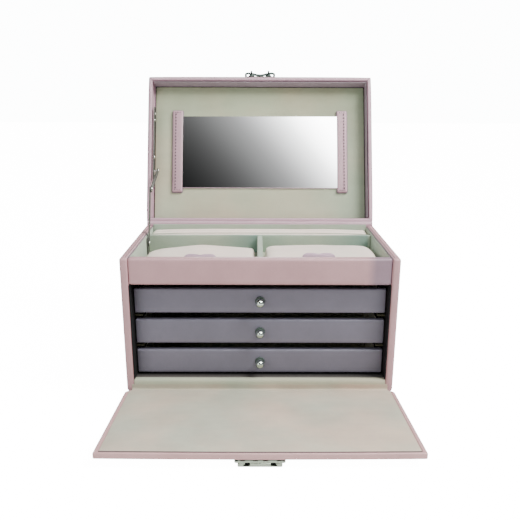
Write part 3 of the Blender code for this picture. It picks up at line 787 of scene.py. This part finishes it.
def cushion_start(box, word):
    """A crowned pad, a little smaller than the finished one."""
    low, high = box
    across = 44
    deep = 30
    mesh = bmesh.new()
    rows = []
    for j in range(deep + 1):
        v = 2 * j / deep - 1
        row = []
        for i in range(across + 1):
            u = 2 * i / across - 1
            pull = 1 - 0.04 * abs(u * v) ** 3
            px = (low.x + high.x) / 2 + u * pull * (high.x - low.x) / 2
            py = (low.y + high.y) / 2 + v * pull * (high.y - low.y) / 2
            edge = low.z + 3.5 * MM
            dome = (1 - v * v) ** 0.5
            rise = 0.25 + 0.75 * dome
            swell = dome * 0.35 + 0.65 * rise * dome ** 0.3
            top = edge + (crest_height(word, px) - 0.8 * MM - edge) * swell
            crease = 0.5 * MM * noise.noise(Vector((px / 0.018, py / 0.03, 3.0)))
            row.append(mesh.verts.new((px, py, max(edge, top + crease * dome))))
        rows.append(row)
    for first, second in zip(rows, rows[1:]):
        for i in range(across):
            mesh.faces.new((first[i], first[i + 1], second[i + 1], second[i]))
    rim = rows[0] + [r[-1] for r in rows[1:]] + rows[-1][-2::-1] + [r[0] for r in rows[-2:0:-1]]
    foot = [mesh.verts.new((v.co.x, v.co.y, low.z)) for v in rim]
    bridged(mesh, [rim, foot])
    mesh.faces.new(foot)
    bmesh.ops.recalc_face_normals(mesh, faces=mesh.faces)
    return mesh


def simulated(name, mesh, box):
    """The pad as inflated cloth, its movement capped and its foot kept in the tray."""
    low, high = box
    pad = meshed(name, mesh)
    remesh = pad.modifiers.new("remesh", "REMESH")
    remesh.mode = "VOXEL"
    remesh.voxel_size = 4 * MM
    applied(pad)
    before = [v.co.copy() for v in pad.data.vertices]
    pinned = pad.vertex_groups.new(name="foot")
    pinned.add([v.index for v in pad.data.vertices if v.co.z < low.z + 2 * MM], 1.0, "REPLACE")
    cloth = pad.modifiers.new("cloth", "CLOTH")
    settings = cloth.settings
    settings.use_pressure = True
    settings.uniform_pressure_force = 4
    settings.effector_weights.gravity = 0
    settings.tension_stiffness = 8
    settings.bending_stiffness = 0.3
    settings.vertex_group_mass = "foot"
    cloth.point_cache.frame_start = 1
    cloth.point_cache.frame_end = 20
    for step in range(1, CUSHION_STEPS + 1):
        bpy.context.scene.frame_set(step)
    applied(pad)
    bpy.context.scene.frame_set(1)
    for vertex, start in zip(pad.data.vertices, before):
        move = vertex.co - start
        if move.length > CUSHION_CAP:
            vertex.co = start + move.normalized() * CUSHION_CAP
        vertex.co.x = min(max(vertex.co.x, low.x), high.x)
        vertex.co.y = min(max(vertex.co.y, low.y), high.y)
        vertex.co.z = max(vertex.co.z, low.z)
    smooth = pad.modifiers.new("smooth", "SUBSURF")
    smooth.levels = 1
    smooth.render_levels = 1
    applied(pad)
    pad.vertex_groups.clear()
    return pad


def applied(piece):
    """Keeps the shape that the modifiers give, and drops them."""
    bpy.context.view_layer.update()
    shown = piece.evaluated_get(bpy.context.evaluated_depsgraph_get())
    data = bpy.data.meshes.new_from_object(shown)
    old = piece.data
    piece.modifiers.clear()
    piece.data = data
    bpy.data.meshes.remove(old)


def cushions():
    for word in ("left", "right"):
        node = "cushion_" + word
        box = closed_box(node)
        pad = simulated("pad_" + word, cushion_start(grown(box, -1 * MM, -1.5 * MM), word), box)
        pad.data.materials.clear()
        pad.data.materials.append(MATERIALS["pale_suede"])
        pad.data.shade_smooth()
        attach(pad, "root")
        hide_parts(node)


def cushion_tabs():
    """Double-lobed leather pulls, curling back over the pad's front edge."""
    for word in ("left", "right"):
        node = "cushion_tab_" + word
        low, high = closed_box(node)
        centre = (low.x + high.x) / 2
        half = 0.88 * (high.x - low.x) / 2
        mesh = bmesh.new()
        ring = [mesh.verts.new((centre + half, low.y, low.z))]
        for step in range(33):
            across = half * math.cos(math.pi * step / 32)
            turn = max(0.0, abs(across) - (half - 6 * MM)) / (6 * MM)
            drop = 4.5 * MM * (1 - math.sqrt(max(0.0, 1 - turn * turn)))
            dip = 0.75 * MM * math.exp(-(across / (3.0 * MM)) ** 2)
            ring.append(mesh.verts.new((centre + across, low.y, high.z - drop - dip)))
        ring.append(mesh.verts.new((centre - half, low.y, low.z)))
        pushed(mesh, mesh.faces.new(ring), (0, high.y - low.y, 0))
        sliced(mesh, Z, 14)
        for v in mesh.verts:
            lean = max(0.0, v.co.z - (high.z - 9 * MM)) / (9 * MM)
            v.co.y += 2.2 * MM * lean * lean
        mesh = softened(mesh, 0.25 * MM, 50)
        make(node + "_leather", mesh, "lavender_tab", "root", replaced=[node], smooth=60)


# ---- drawers ----
KNOB = [(0.0, 4.4), (0.25, 4.8), (0.9, 4.9), (1.25, 4.6), (1.45, 3.7), (1.7, 2.75), (2.1, 2.35),
        (3.0, 2.15), (4.2, 2.2), (4.9, 2.5), (5.4, 3.1), (5.9, 3.7), (6.5, 4.1), (7.4, 4.3), (8.6, 4.3),
        (9.6, 4.1), (10.5, 3.7), (11.2, 3.15), (11.8, 2.4), (12.15, 1.5), (12.3, 0.6)]
PULL_START, ROSE_END = 9, 11    # the chrome pull and its rose overlap inside its neck; the rose is chrome painted dark for the dark it reflects


def drawers():
    for index in (1, 2, 3):
        name = "drawer_%d" % index
        low, high = closed_box(name + "_front")
        mesh = plate((low, high), Y, 1.3 * MM, 1.2 * MM, segments=4)
        puffed(mesh, Y, -1, 0.35 * MM, 8, (18, 8))
        make(name + "_face", mesh, "slate_leather", name, replaced=[name + "_front"])
        knob_low, knob_high = closed_box(name + "_knob")
        centre = ((knob_low.x + knob_high.x) / 2, knob_high.y, (knob_low.z + knob_high.z) / 2)
        profile = [(d * MM, r * MM) for d, r in KNOB]
        mesh = turned(bmesh.new(), profile[:ROSE_END], centre, (0, -1, 0), 48)
        make(name + "_rose", mesh, "dark_chrome", name, smooth=50)
        mesh = turned(bmesh.new(), profile[PULL_START:], centre, (0, -1, 0), 48)
        make(name + "_pull", mesh, "chrome", name, replaced=[name + "_knob"], smooth=50)


# ---- lid ----
def lid_cover():
    """Leather-wrapped lid: soft rim, recess, padded top."""
    low, high = closed_box("lid_shell")
    recess = closed_box("lid_lining")[1].z + 0.3 * MM
    wall = 6 * MM
    mesh = bmesh.new()
    cube(mesh, (low, high))
    outer = mesh.edges[:]
    face = min(mesh.faces, key=lambda f: f.calc_center_median().z)
    bmesh.ops.inset_region(mesh, faces=[face], thickness=wall)
    inner = [e for e in face.edges]
    pushed(mesh, face, (0, 0, recess - low.z))
    if face.is_valid:
        bmesh.ops.delete(mesh, geom=[face], context="FACES_ONLY")
    rim = [e for e in inner if e.is_valid]
    bmesh.ops.bevel(mesh, geom=[e for e in outer if e.is_valid], offset=1.5 * MM, segments=4,
                    profile=0.5, affect="EDGES", clamp_overlap=True)
    bmesh.ops.bevel(mesh, geom=[e for e in rim if e.is_valid], offset=0.8 * MM, segments=4,
                    profile=0.5, affect="EDGES", clamp_overlap=True)
    sliced(mesh, X, 14)
    sliced(mesh, Y, 12)
    for v in mesh.verts:
        if v.co.z > high.z - 0.1 * MM:
            v.co.z += 0.9 * MM * crown(v.co.x, low.x, high.x, 4) * crown(v.co.y, low.y, high.y, 4)
        for axis, other in ((X, Y), (Y, X)):
            for edge, side in ((low[axis], -1), (high[axis], 1)):
                if abs(v.co[axis] - edge) < 0.1 * MM:
                    v.co[axis] += side * 0.5 * MM * crown(v.co[other], low[other], high[other], 8)
    make("lid_cover", mesh, "lid_leather", "lid", ["lid_shell"])
    # dark leather sheets over the front and right inner walls: painted shade
    facing = bmesh.new()
    upright = (low.z + 1.0 * MM, recess - 0.1 * MM)
    cube(facing, span((low.x + wall, high.x - wall), off(low.y + wall, -0.1, 0.2), upright))
    cube(facing, span(off(high.x - wall, -0.2, 0.1), (low.y + wall, high.y - wall), upright))
    make("lid_wall_painted_shade", facing, "wall_leather", "lid")
    seams = bmesh.new()
    for sx, corner_x in ((1, low.x), (-1, high.x)):
        for sy, corner_y in ((1, low.y), (-1, high.y)):
            mitre = [(corner_x + sx * inward, corner_y + sy * inward, z) for inward, z in (
                (0.9 * MM, low.z + 0.5 * MM), (2.2 * MM, low.z - 0.02 * MM),
                (wall - 1.2 * MM, low.z - 0.02 * MM), (wall, low.z + 1.3 * MM),
                (wall, recess - 1 * MM))]
            tube(seams, mitre, 0.22 * MM, 6)
    make("lid_mitre_seams", seams, "edge_paint", "lid")


def lid_panel():
    low, high = closed_box("lid_lining")
    mesh = plate((low, high), Z, 1.2 * MM, 0.5 * MM, segments=3)
    puffed(mesh, Z, -1, 0.35 * MM, 10, (20, 14))
    wavy(mesh, 0.25 * MM, 0.05, Z, 2.0)
    make("lid_suede", mesh, "lid_suede", "lid", ["lid_lining"])
    above = span((low.x, high.x), (low.y, high.y), off(high.z, 0.05, 0.2))
    shadow = plate(grown(above, 1.1 * MM, 1.1 * MM), Z, 0.5 * MM, 0.02 * MM, segments=1)
    make("lid_shadow_gap", shadow, "black_board", "lid")


def mirror():
    low, high = closed_box("mirror")
    mesh = plate((low, high), Z, 0.8 * MM, 0.5 * MM, segments=1)
    make("mirror_glass", mesh, "mirror", "lid", replaced=["mirror"], smooth=10)
    for word, side in (("left", -1), ("right", 1)):
        node = "mirror_strap_" + word
        box_low, box_high = closed_box(node)
        mesh = plate((box_low, box_high), Z, 1.6 * MM, 0.9 * MM, segments=4)
        puffed(mesh, Z, -1, 0.5 * MM, 6, (8, 24))
        make(node + "_leather", mesh, "strap_leather", "lid", [node])
        edge = grown((box_low, box_high), 0.8 * MM, 0.8 * MM)
        edge[0].z = box_high.z - 1.6 * MM
        mesh = plate(edge, Z, 2.1 * MM, 0.3 * MM, segments=2)
        make("strap_edge_" + word, mesh, "edge_paint", "lid")
        outer = box_low.x if side < 0 else box_high.x
        inner = box_high.x if side < 0 else box_low.x
        face = box_low.z - 0.85 * MM
        rows = bmesh.new()
        row = outer - side * 3.7 * MM
        stitches(rows, (row, box_low.y + 3 * MM, face), (row, box_high.y - 3 * MM, face),
                 4.0 * MM, 2.4 * MM, 0.75 * MM)
        z = face + 0.15 * MM
        for y in (box_low.y + 2.4 * MM, box_high.y - 2.4 * MM):
            stitches(rows, (outer - side * 2 * MM, y, z), (inner + side * 2 * MM, y, z))
        make("strap_stitches_" + word, rows, "thread", "lid")


HOOK_X = 10.3                   # millimetres either side of the middle
SMILE = (-9.0, -6.8, -4.4, -2.2, 0, 2.2, 4.4, 6.8, 9.0)


def hasp():
    """Plate with two hooks, lugs at its ends and a curved bar between the hooks."""
    low, high = closed_box("hasp")
    back = high.y
    tip = low.y
    plate_low = closed_box("lid_shell")[0].z + 1.5 * MM
    base = span((low.x, high.x), (back - 1.0 * MM, back), (plate_low, high.z))
    base = plate(base, Y, 1.6 * MM, 0.35 * MM, segments=3)
    make("hasp_plate", base, "lock_metal", "lid", ["hasp"])
    hooks = bmesh.new()
    near, far = off(tip, 0.5, 2.0)
    for x in off(0, -HOOK_X, HOOK_X):
        outline = [(x + dx * MM, y) for dx, y in (
            (-4.0, back - 0.4 * MM), (4.0, back - 0.4 * MM), (2.2, back - 2.6 * MM),
            (1.5, near), (-1.5, near), (-2.2, back - 2.6 * MM))]
        extruded(hooks, outline, *off(plate_low, -1.2, 1.4))
        left, right = off(x, -1.1, 1.1)
        nose = [(left, near), (right, near), (right, far), (left, far)]
        extruded(hooks, nose, low.z + 1.4 * MM, plate_low - 1.0 * MM)
    # hooks and bars of chrome painted dark: painted reflection
    make("hasp_hooks", softened(hooks, 0.25 * MM, 30), "dark_chrome", "lid")
    bars = bmesh.new()
    shelf = plate_low - 0.4 * MM
    smile = [(dx * MM, tip + (1.4 + 1.9 * (1 - (dx / SMILE[-1]) ** 2)) * MM, shelf)
             for dx in SMILE]
    tube(bars, smile, 1.5 * MM, 10)
    for side in (-1, 1):
        rail = [(side * dx * MM, y, shelf) for dx, y in (
            (11.0, tip + 2.6 * MM), (12.4, tip + 1.0 * MM), (14.8, tip + 0.9 * MM),
            (17.0, tip + 1.6 * MM), (17.2, tip + 3.2 * MM), (17.2, back - 0.4 * MM))]
        tube(bars, smooth_path(rail, 4), 1.4 * MM, 10)
    for v in bars.verts:
        v.co.z = shelf + 0.5 * (v.co.z - shelf)
    make("hasp_bars", bars, "dark_chrome", "lid", smooth=60)


# ---- lock ----
SLOT_X = 10.6 * MM              # the hook slots, either side of the middle
NOTCHES = [(-19.5, 1.2), (-14.5, 2.0), (-4.0, 1.9), (4.4, 2.1), (15.5, 2.0), (19.2, 0.9)]


def lock():
    """Thick back plate, case with hook slots in its end, thumb slide in a channel."""
    plate_low, plate_high = closed_box("lock_backplate")
    low, high = closed_box("lock_case")
    button_low, button_high = closed_box("lock_button")
    deep = high.z - 8 * MM
    cut = (deep, high.z + 2 * MM)
    tools = {"plate": [], "case": []}
    for kind in tools:
        for side in (-1, 1):
            x = side * SLOT_X
            slot = span(off(x, -2.2, 2.2), off(low.y, 0.9, 4.0), cut)
            tools[kind].append(plate(slot, Z, 1.2 * MM, 0.1 * MM, segments=2))
            tail = span(off(x + side * 2.0 * MM, -1.3, 1.3), off(low.y, 0.9, 2.5), cut)
            tools[kind].append(plate(tail, Z, 0.6 * MM, 0.1 * MM, segments=1))
    for x, half in NOTCHES:
        notch = span(off(x * MM, -half, half), off(plate_high.y, -1.1, 1), off(plate_high.z, -5, 1))
        tools["plate"].append(plate(notch, Z, 0.3 * MM, 0.1 * MM, segments=1))
    channel = span(off(0, -4.1, 3.5), (low.y - 1 * MM, plate_low.y + 0.3 * MM),
                   (button_low.z - 0.5 * MM, high.z - 1.2 * MM))
    tools["case"].append(plate(channel, Y, 0.5 * MM, 0.1 * MM, segments=1))
    mesh = plate((plate_low, plate_high), Y, 2.0 * MM, 0.35 * MM, segments=2)
    mesh = softened(cut_away(mesh, tools["plate"]), 0.2 * MM, 50)
    make("lock_plate", mesh, "lock_metal", "flap", ["lock_backplate"])
    body = (low, Vector((high.x, plate_low.y + 0.05 * MM, high.z)))
    mesh = cut_away(plate(body, Z, 1.2 * MM, 0.4 * MM, segments=3), tools["case"])
    make("lock_body", softened(mesh, 0.18 * MM, 50), "lock_metal", "flap", ["lock_case"])
    face = Vector((button_high.x, button_high.y, min(button_high.z, high.z - 1.5 * MM)))
    mesh = plate((button_low, face), Y, 0.9 * MM, 0.5 * MM, segments=3)
    puffed(mesh, Y, -1, 0.3 * MM, 4, (6, 6))
    make("lock_thumb_slide", mesh, "lock_metal", "lock_button", ["lock_button"])
    dark = bmesh.new()
    for side in (-1, 1):
        cube(dark, span(off(side * SLOT_X, -2.0, 2.0), off(low.y, 1.1, 3.8), off(deep, 0.1, 5.5)))
    cube(dark, span((plate_low.x + 0.8 * MM, plate_high.x - 0.8 * MM), off(plate_high.y, -0.5, 0.25),
                    (plate_low.z + 2 * MM, plate_high.z + 0.1 * MM)))
    make("lock_slot_shadows", dark, "black_board", "flap")


# ---- stay ----
RIVET_DOME = [(0.0, 2.3), (0.25, 2.45), (0.7, 2.3), (1.05, 1.8), (1.25, 1.1), (1.3, 0.4)]


def stay():
    low, high = closed_box("stay_lid_plate")
    mesh = plate((low, high), X, 2.5 * MM, 0.3 * MM, segments=3)
    slot = span((low.x - 1 * MM, high.x + 1 * MM), off(low.y, 24, 52), off(low.z, 3, 5))
    mesh = cut_away(mesh, [plate(slot, X, 0.9 * MM, 0.05 * MM, segments=1)])
    mesh = softened(mesh, 0.15 * MM, 60)
    # the stay's nickel is painted dark: painted reflection
    make("stay_rail", mesh, "nickel", "lid", replaced=["stay_lid_plate"])
    heads = bmesh.new()
    for along in (8, 16, 62, 82):
        profile = [(d * 0.8 * MM, r * 0.8 * MM) for d, r in RIVET_DOME]
        turned(heads, profile, (high.x, low.y + along * MM, (low.z + high.z) / 2), (1, 0, 0), 20)
    make("stay_rail_rivets", heads, "rivet", "lid", smooth=60)
    low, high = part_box("stay_body_bracket")
    mesh = plate((low, high), X, 2.5 * MM, 0.3 * MM, segments=3)
    make("stay_bracket", mesh, "nickel", "root", replaced=["stay_body_bracket"])
    for node, body, name in (("stay_lid_stud", "lid", "stay_upper_rivet"),
                             ("stay_body_pin", "root", "stay_lower_rivet"),
                             ("stay_elbow_rivet", "stay_lower", "stay_middle_rivet")):
        low, high = closed_box(node)
        centre = ((low.y + high.y) / 2, (low.z + high.z) / 2)
        mesh = bmesh.new()
        shank = high.x - low.x - 0.9 * MM
        profile = [(0, 1.0 * MM), (shank, 1.0 * MM)]
        turned(mesh, profile, (low.x, *centre), (1, 0, 0), 16)
        dome = [(d * MM, r * MM) for d, r in RIVET_DOME]
        turned(mesh, dome, (low.x + shank - 0.4 * MM, *centre), (1, 0, 0), 24)
        make(name, mesh, "rivet", body, [node], 60)


# ---- flap ----
FLAP_BOW = 1.5 * MM             # the free edge is a little convex
FLAP_SPREAD = 0.008             # and a little wider than the hinge edge


def bowed(mesh, reach):
    """Carries the free edge's bow into everything on the flap."""
    half = cad_high.x
    for v in mesh.verts:
        share = max(0.0, (v.co.z - reach[0]) / (reach[1] - reach[0]))
        v.co.x *= 1 + FLAP_SPREAD * share
        v.co.z += FLAP_BOW * share ** 2 * (1 - (v.co.x / half) ** 2)
    return mesh


def flap():
    low, high = closed_box("flap_board")
    lining_low, lining_high = closed_box("flap_lining")
    box = (low, Vector((high.x, lining_high.y - 0.2 * MM, high.z)))
    mesh = plate(box, Y, 6 * MM, 1.2 * MM, 1.2 * MM, segments=5)
    recess = grown((Vector((lining_low.x, lining_low.y - 0.1 * MM, lining_low.z)),
                    Vector((lining_high.x, lining_high.y + 3 * MM, lining_high.z))), 0.9 * MM, 0, 0.9 * MM)
    recess[0].z = low.z - 3 * MM
    reach = (low.z, high.z)
    tool = plate(recess, Y, 1.2 * MM, 0.1 * MM, segments=1)
    mesh = softened(cut_away(mesh, [tool]), 0.4 * MM, 60)
    sliced(mesh, X, 24)
    for v in mesh.verts:
        if abs(v.co.x) > high.x - 2 * MM:
            v.co.x += math.copysign(0.6 * MM, v.co.x) * crown(v.co.z, low.z, 2 * high.z, 4)
    make("flap_cover", bowed(mesh, reach), "flap_leather", "flap", ["flap_board"])
    mesh = plate((lining_low, lining_high), Y, 3 * MM, 0.28 * MM, 1.2 * MM, segments=3)
    puffed(mesh, Y, 1, 0.25 * MM, 12, (26, 16))
    wavy(mesh, 0.3 * MM, 0.04, Y, 5.0)
    make("flap_suede", bowed(mesh, reach), "flap_suede", "flap", ["flap_lining"])
    # a dark tube in the gap between the lining and the leather rim at the free edge: painted shade
    groove = bmesh.new()
    y = lining_high.y - 0.1 * MM
    z = lining_high.z + 0.45 * MM
    points = [(x, y, z) for x in spread(lining_low.x, lining_high.x, 30)]
    tube(groove, points, 0.62 * MM, 8)
    make("flap_groove", bowed(groove, reach), "groove_painted_shade", "flap")


# ---- live hinges ----
def hinges():
    """Leather behind the tray and suede before the base, where the lid and the flap hinge, shaped in the
    open pose.
    """
    low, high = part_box("lid_hinge_strip")
    shell_low, shell_high = closed_box("lid_shell")
    edge = CLOSE["lid"].inverted() @ Vector((0, shell_high.y, shell_low.z))
    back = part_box("tray_lining_back")[1]
    profile = [(back.y + y * MM, back.z + z * MM) for y, z in (
        (0.4, -2.5), (0.5, 0.2), (1.4, 1.9), (3.4, 2.9), (5.8, 2.7))]
    profile += [(edge.y - 0.5 * MM, edge.z + 0.1 * MM), (edge.y + 0.2 * MM, edge.z + 0.6 * MM)]
    mesh = ribbon(profile, (low.x, high.x), -0.9 * MM, 60)
    wavy(mesh, 0.3 * MM, 0.03, Z, 9.0)
    strip = make("lid_hinge_leather", mesh, "lid_leather", None, ["lid_hinge_strip"], 60)
    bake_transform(strip)
    low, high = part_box("flap_hinge_strip")
    profile = [(high.y + 0.1 * MM, high.z + 4.5 * MM), (high.y - 0.1 * MM, high.z),
               (high.y - 1.2 * MM, low.z + 1.3 * MM), (high.y - 2.8 * MM, low.z + 0.8 * MM),
               (low.y + 1.4 * MM, high.z - 0.5 * MM),
               (low.y, high.z + 0.6 * MM), (low.y - 2.5 * MM, high.z + 1.1 * MM)]
    mesh = ribbon(profile, (low.x, high.x), 0.7 * MM, 60)
    wavy(mesh, 0.35 * MM, 0.025, Z, 3.0)
    strip = make("flap_hinge_suede", mesh, "flap_suede", None, ["flap_hinge_strip"], 60)
    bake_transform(strip)


# ---- CAD nodes that stay ----
def paint_frame():
    """The nodes whose own shape is right get a finish and slightly softened edges."""
    for part in frame["record"]["subparts"]:
        node = nodes[part["node"]]
        node.data.materials.clear()
        # the carcass's bottom liner gets the board with painted shade
        shaded = part["node"] == "carcass_liner_bottom"
        node.data.materials.append(MATERIALS["base_board" if shaded else part["material_slot"]])
        if node.hide_render:
            continue
        weld = node.modifiers.new("weld", "WELD")
        weld.merge_threshold = 1e-5
        soft = node.modifiers.new("soft", "BEVEL")
        soft.width = 0.2 * MM
        soft.segments = 2
        soft.limit_method = "ANGLE"
        soft.angle_limit = math.radians(50)


# ---- stage ----
BACKDROP_GLOW = 14.0            # a white studio backdrop
FLOOR_GLOW = 15.0
FLOOR_SIZE = 12.0
WORLD_LIGHT = 0.36
LIGHTS = [                      # name, place, target, size, power, colour
    ("key", (1.05, -0.4, 1.55), (0, -0.02, 0.1), (0.9, 0.8), 64, (1.0, 0.98, 0.95)),
    ("fill", (-1.2, -1.5, 0.8), (0, 0, 0.1), (1.2, 1.2), 14, (1.0, 0.96, 0.92)),
]


def square(name, size):
    """A flat square around its own origin."""
    mesh = bpy.data.meshes.new(name)
    half = size / 2
    corners = [(-half, -half, 0), (half, -half, 0), (half, half, 0), (-half, half, 0)]
    mesh.from_pydata(corners, [], [(0, 1, 2, 3)])
    return added(name, mesh)


def make_floor():
    floor = square("floor", FLOOR_SIZE)
    floor.location.z = cad_low.z - 0.2 * MM
    t = Tree("floor_paint")
    t.base(t.ramp(t.noise(3, 2), [(0.3, 0.88), (0.7, 0.90)]))
    t.roughness(0.9)
    t.set("Emission Color", (1.0, 1.0, 1.0, 1.0))
    t.link(seen_or_lit(t.tree, FLOOR_GLOW, 0.0), t.shader.inputs["Emission Strength"])
    floor.data.materials.append(t.material)


def area_light(name, place, target, size, power, colour):
    data = bpy.data.lights.new(name, "AREA")
    data.shape = "RECTANGLE"
    data.size, data.size_y = size
    data.energy = power
    data.color = colour
    light = added(name, data)
    light.location = place
    light.rotation_euler = (Vector(target) - Vector(place)).to_track_quat("-Z", "Y").to_euler()


def make_lights():
    world = bpy.data.worlds.new("studio")
    bpy.context.scene.world = world
    world.use_nodes = True
    tree = world.node_tree
    background = tree.nodes["Background"]
    background.inputs["Color"].default_value = (0.97, 1.0, 1.0, 1.0)
    strength = seen_or_lit(tree, BACKDROP_GLOW, WORLD_LIGHT)
    tree.links.new(strength, background.inputs["Strength"])
    for light in LIGHTS:
        area_light(*light)


def seen_or_lit(tree, seen, lit):
    """One value for what the camera sees directly, another for the light that it gives."""
    path = tree.nodes.new("ShaderNodeLightPath")
    pick = tree.nodes.new("ShaderNodeMix")
    tree.links.new(path.outputs["Is Camera Ray"], pick.inputs[0])
    pick.inputs[2].default_value = lit
    pick.inputs[3].default_value = seen
    return pick.outputs[0]


CARD_DISTANCE = 1.0
CARD_SIZE = 1.1
CARD_TURN = math.radians(-42)
CARD_SCALE = 1.6
CARD_GLOW = 16.0
CARD_STOPS = [(0.10, 0.0004), (0.3, 0.0031), (0.5, 0.021), (0.66, 0.115), (0.78, 1.0)]


def gradient_card():
    """What the mirror shows: a glowing card, seen only in reflections, shaded from black at its lower left
    to white; a painted reflection.
    """
    low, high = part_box("mirror")
    centre = (low + high) / 2
    facing = (CLOSE["lid"].inverted().to_3x3() @ Vector((0, 0, -1))).normalized()
    sight = (centre - Vector(CAMERA_PLACE)).normalized()
    onward = sight - 2 * sight.dot(facing) * facing
    card = square("card", CARD_SIZE)
    side = Vector((1, 0, 0))
    up = onward.cross(side).normalized()
    turn = Matrix((side, up, onward)).transposed().to_4x4()
    card.matrix_world = Matrix.Translation(centre + onward * CARD_DISTANCE) @ turn
    t = Tree("card_glow")
    t.set("Base Color", (0, 0, 0, 1))
    t.set("Roughness", 1.0)
    t.set("Specular IOR Level", 0.0)
    place = t.node("Mapping", t.point, Rotation=(0, 0, CARD_TURN), Location=(0.5, 0.5, 0),
                   Scale=(CARD_SCALE, CARD_SCALE, CARD_SCALE))
    fade = t.node("TexGradient", place.outputs["Vector"])
    blend = t.ramp(fade.outputs["Fac"], CARD_STOPS)
    blend.node.color_ramp.interpolation = "B_SPLINE"
    t.link(blend, t.shader.inputs["Emission Color"])
    t.set("Emission Strength", CARD_GLOW)
    card.data.materials.append(t.material)
    for ray in ("camera", "diffuse", "shadow", "transmission", "volume_scatter"):
        setattr(card, "visible_" + ray, False)


side_panels()
body_boards()
base_suede()
tray_boards()
ring_rolls()
cushions()
cushion_tabs()
drawers()
lid_cover()
lid_panel()
mirror()
hasp()
lock()
stay()
flap()
hinges()
paint_frame()
make_floor()
make_lights()
gradient_card()
make_camera()
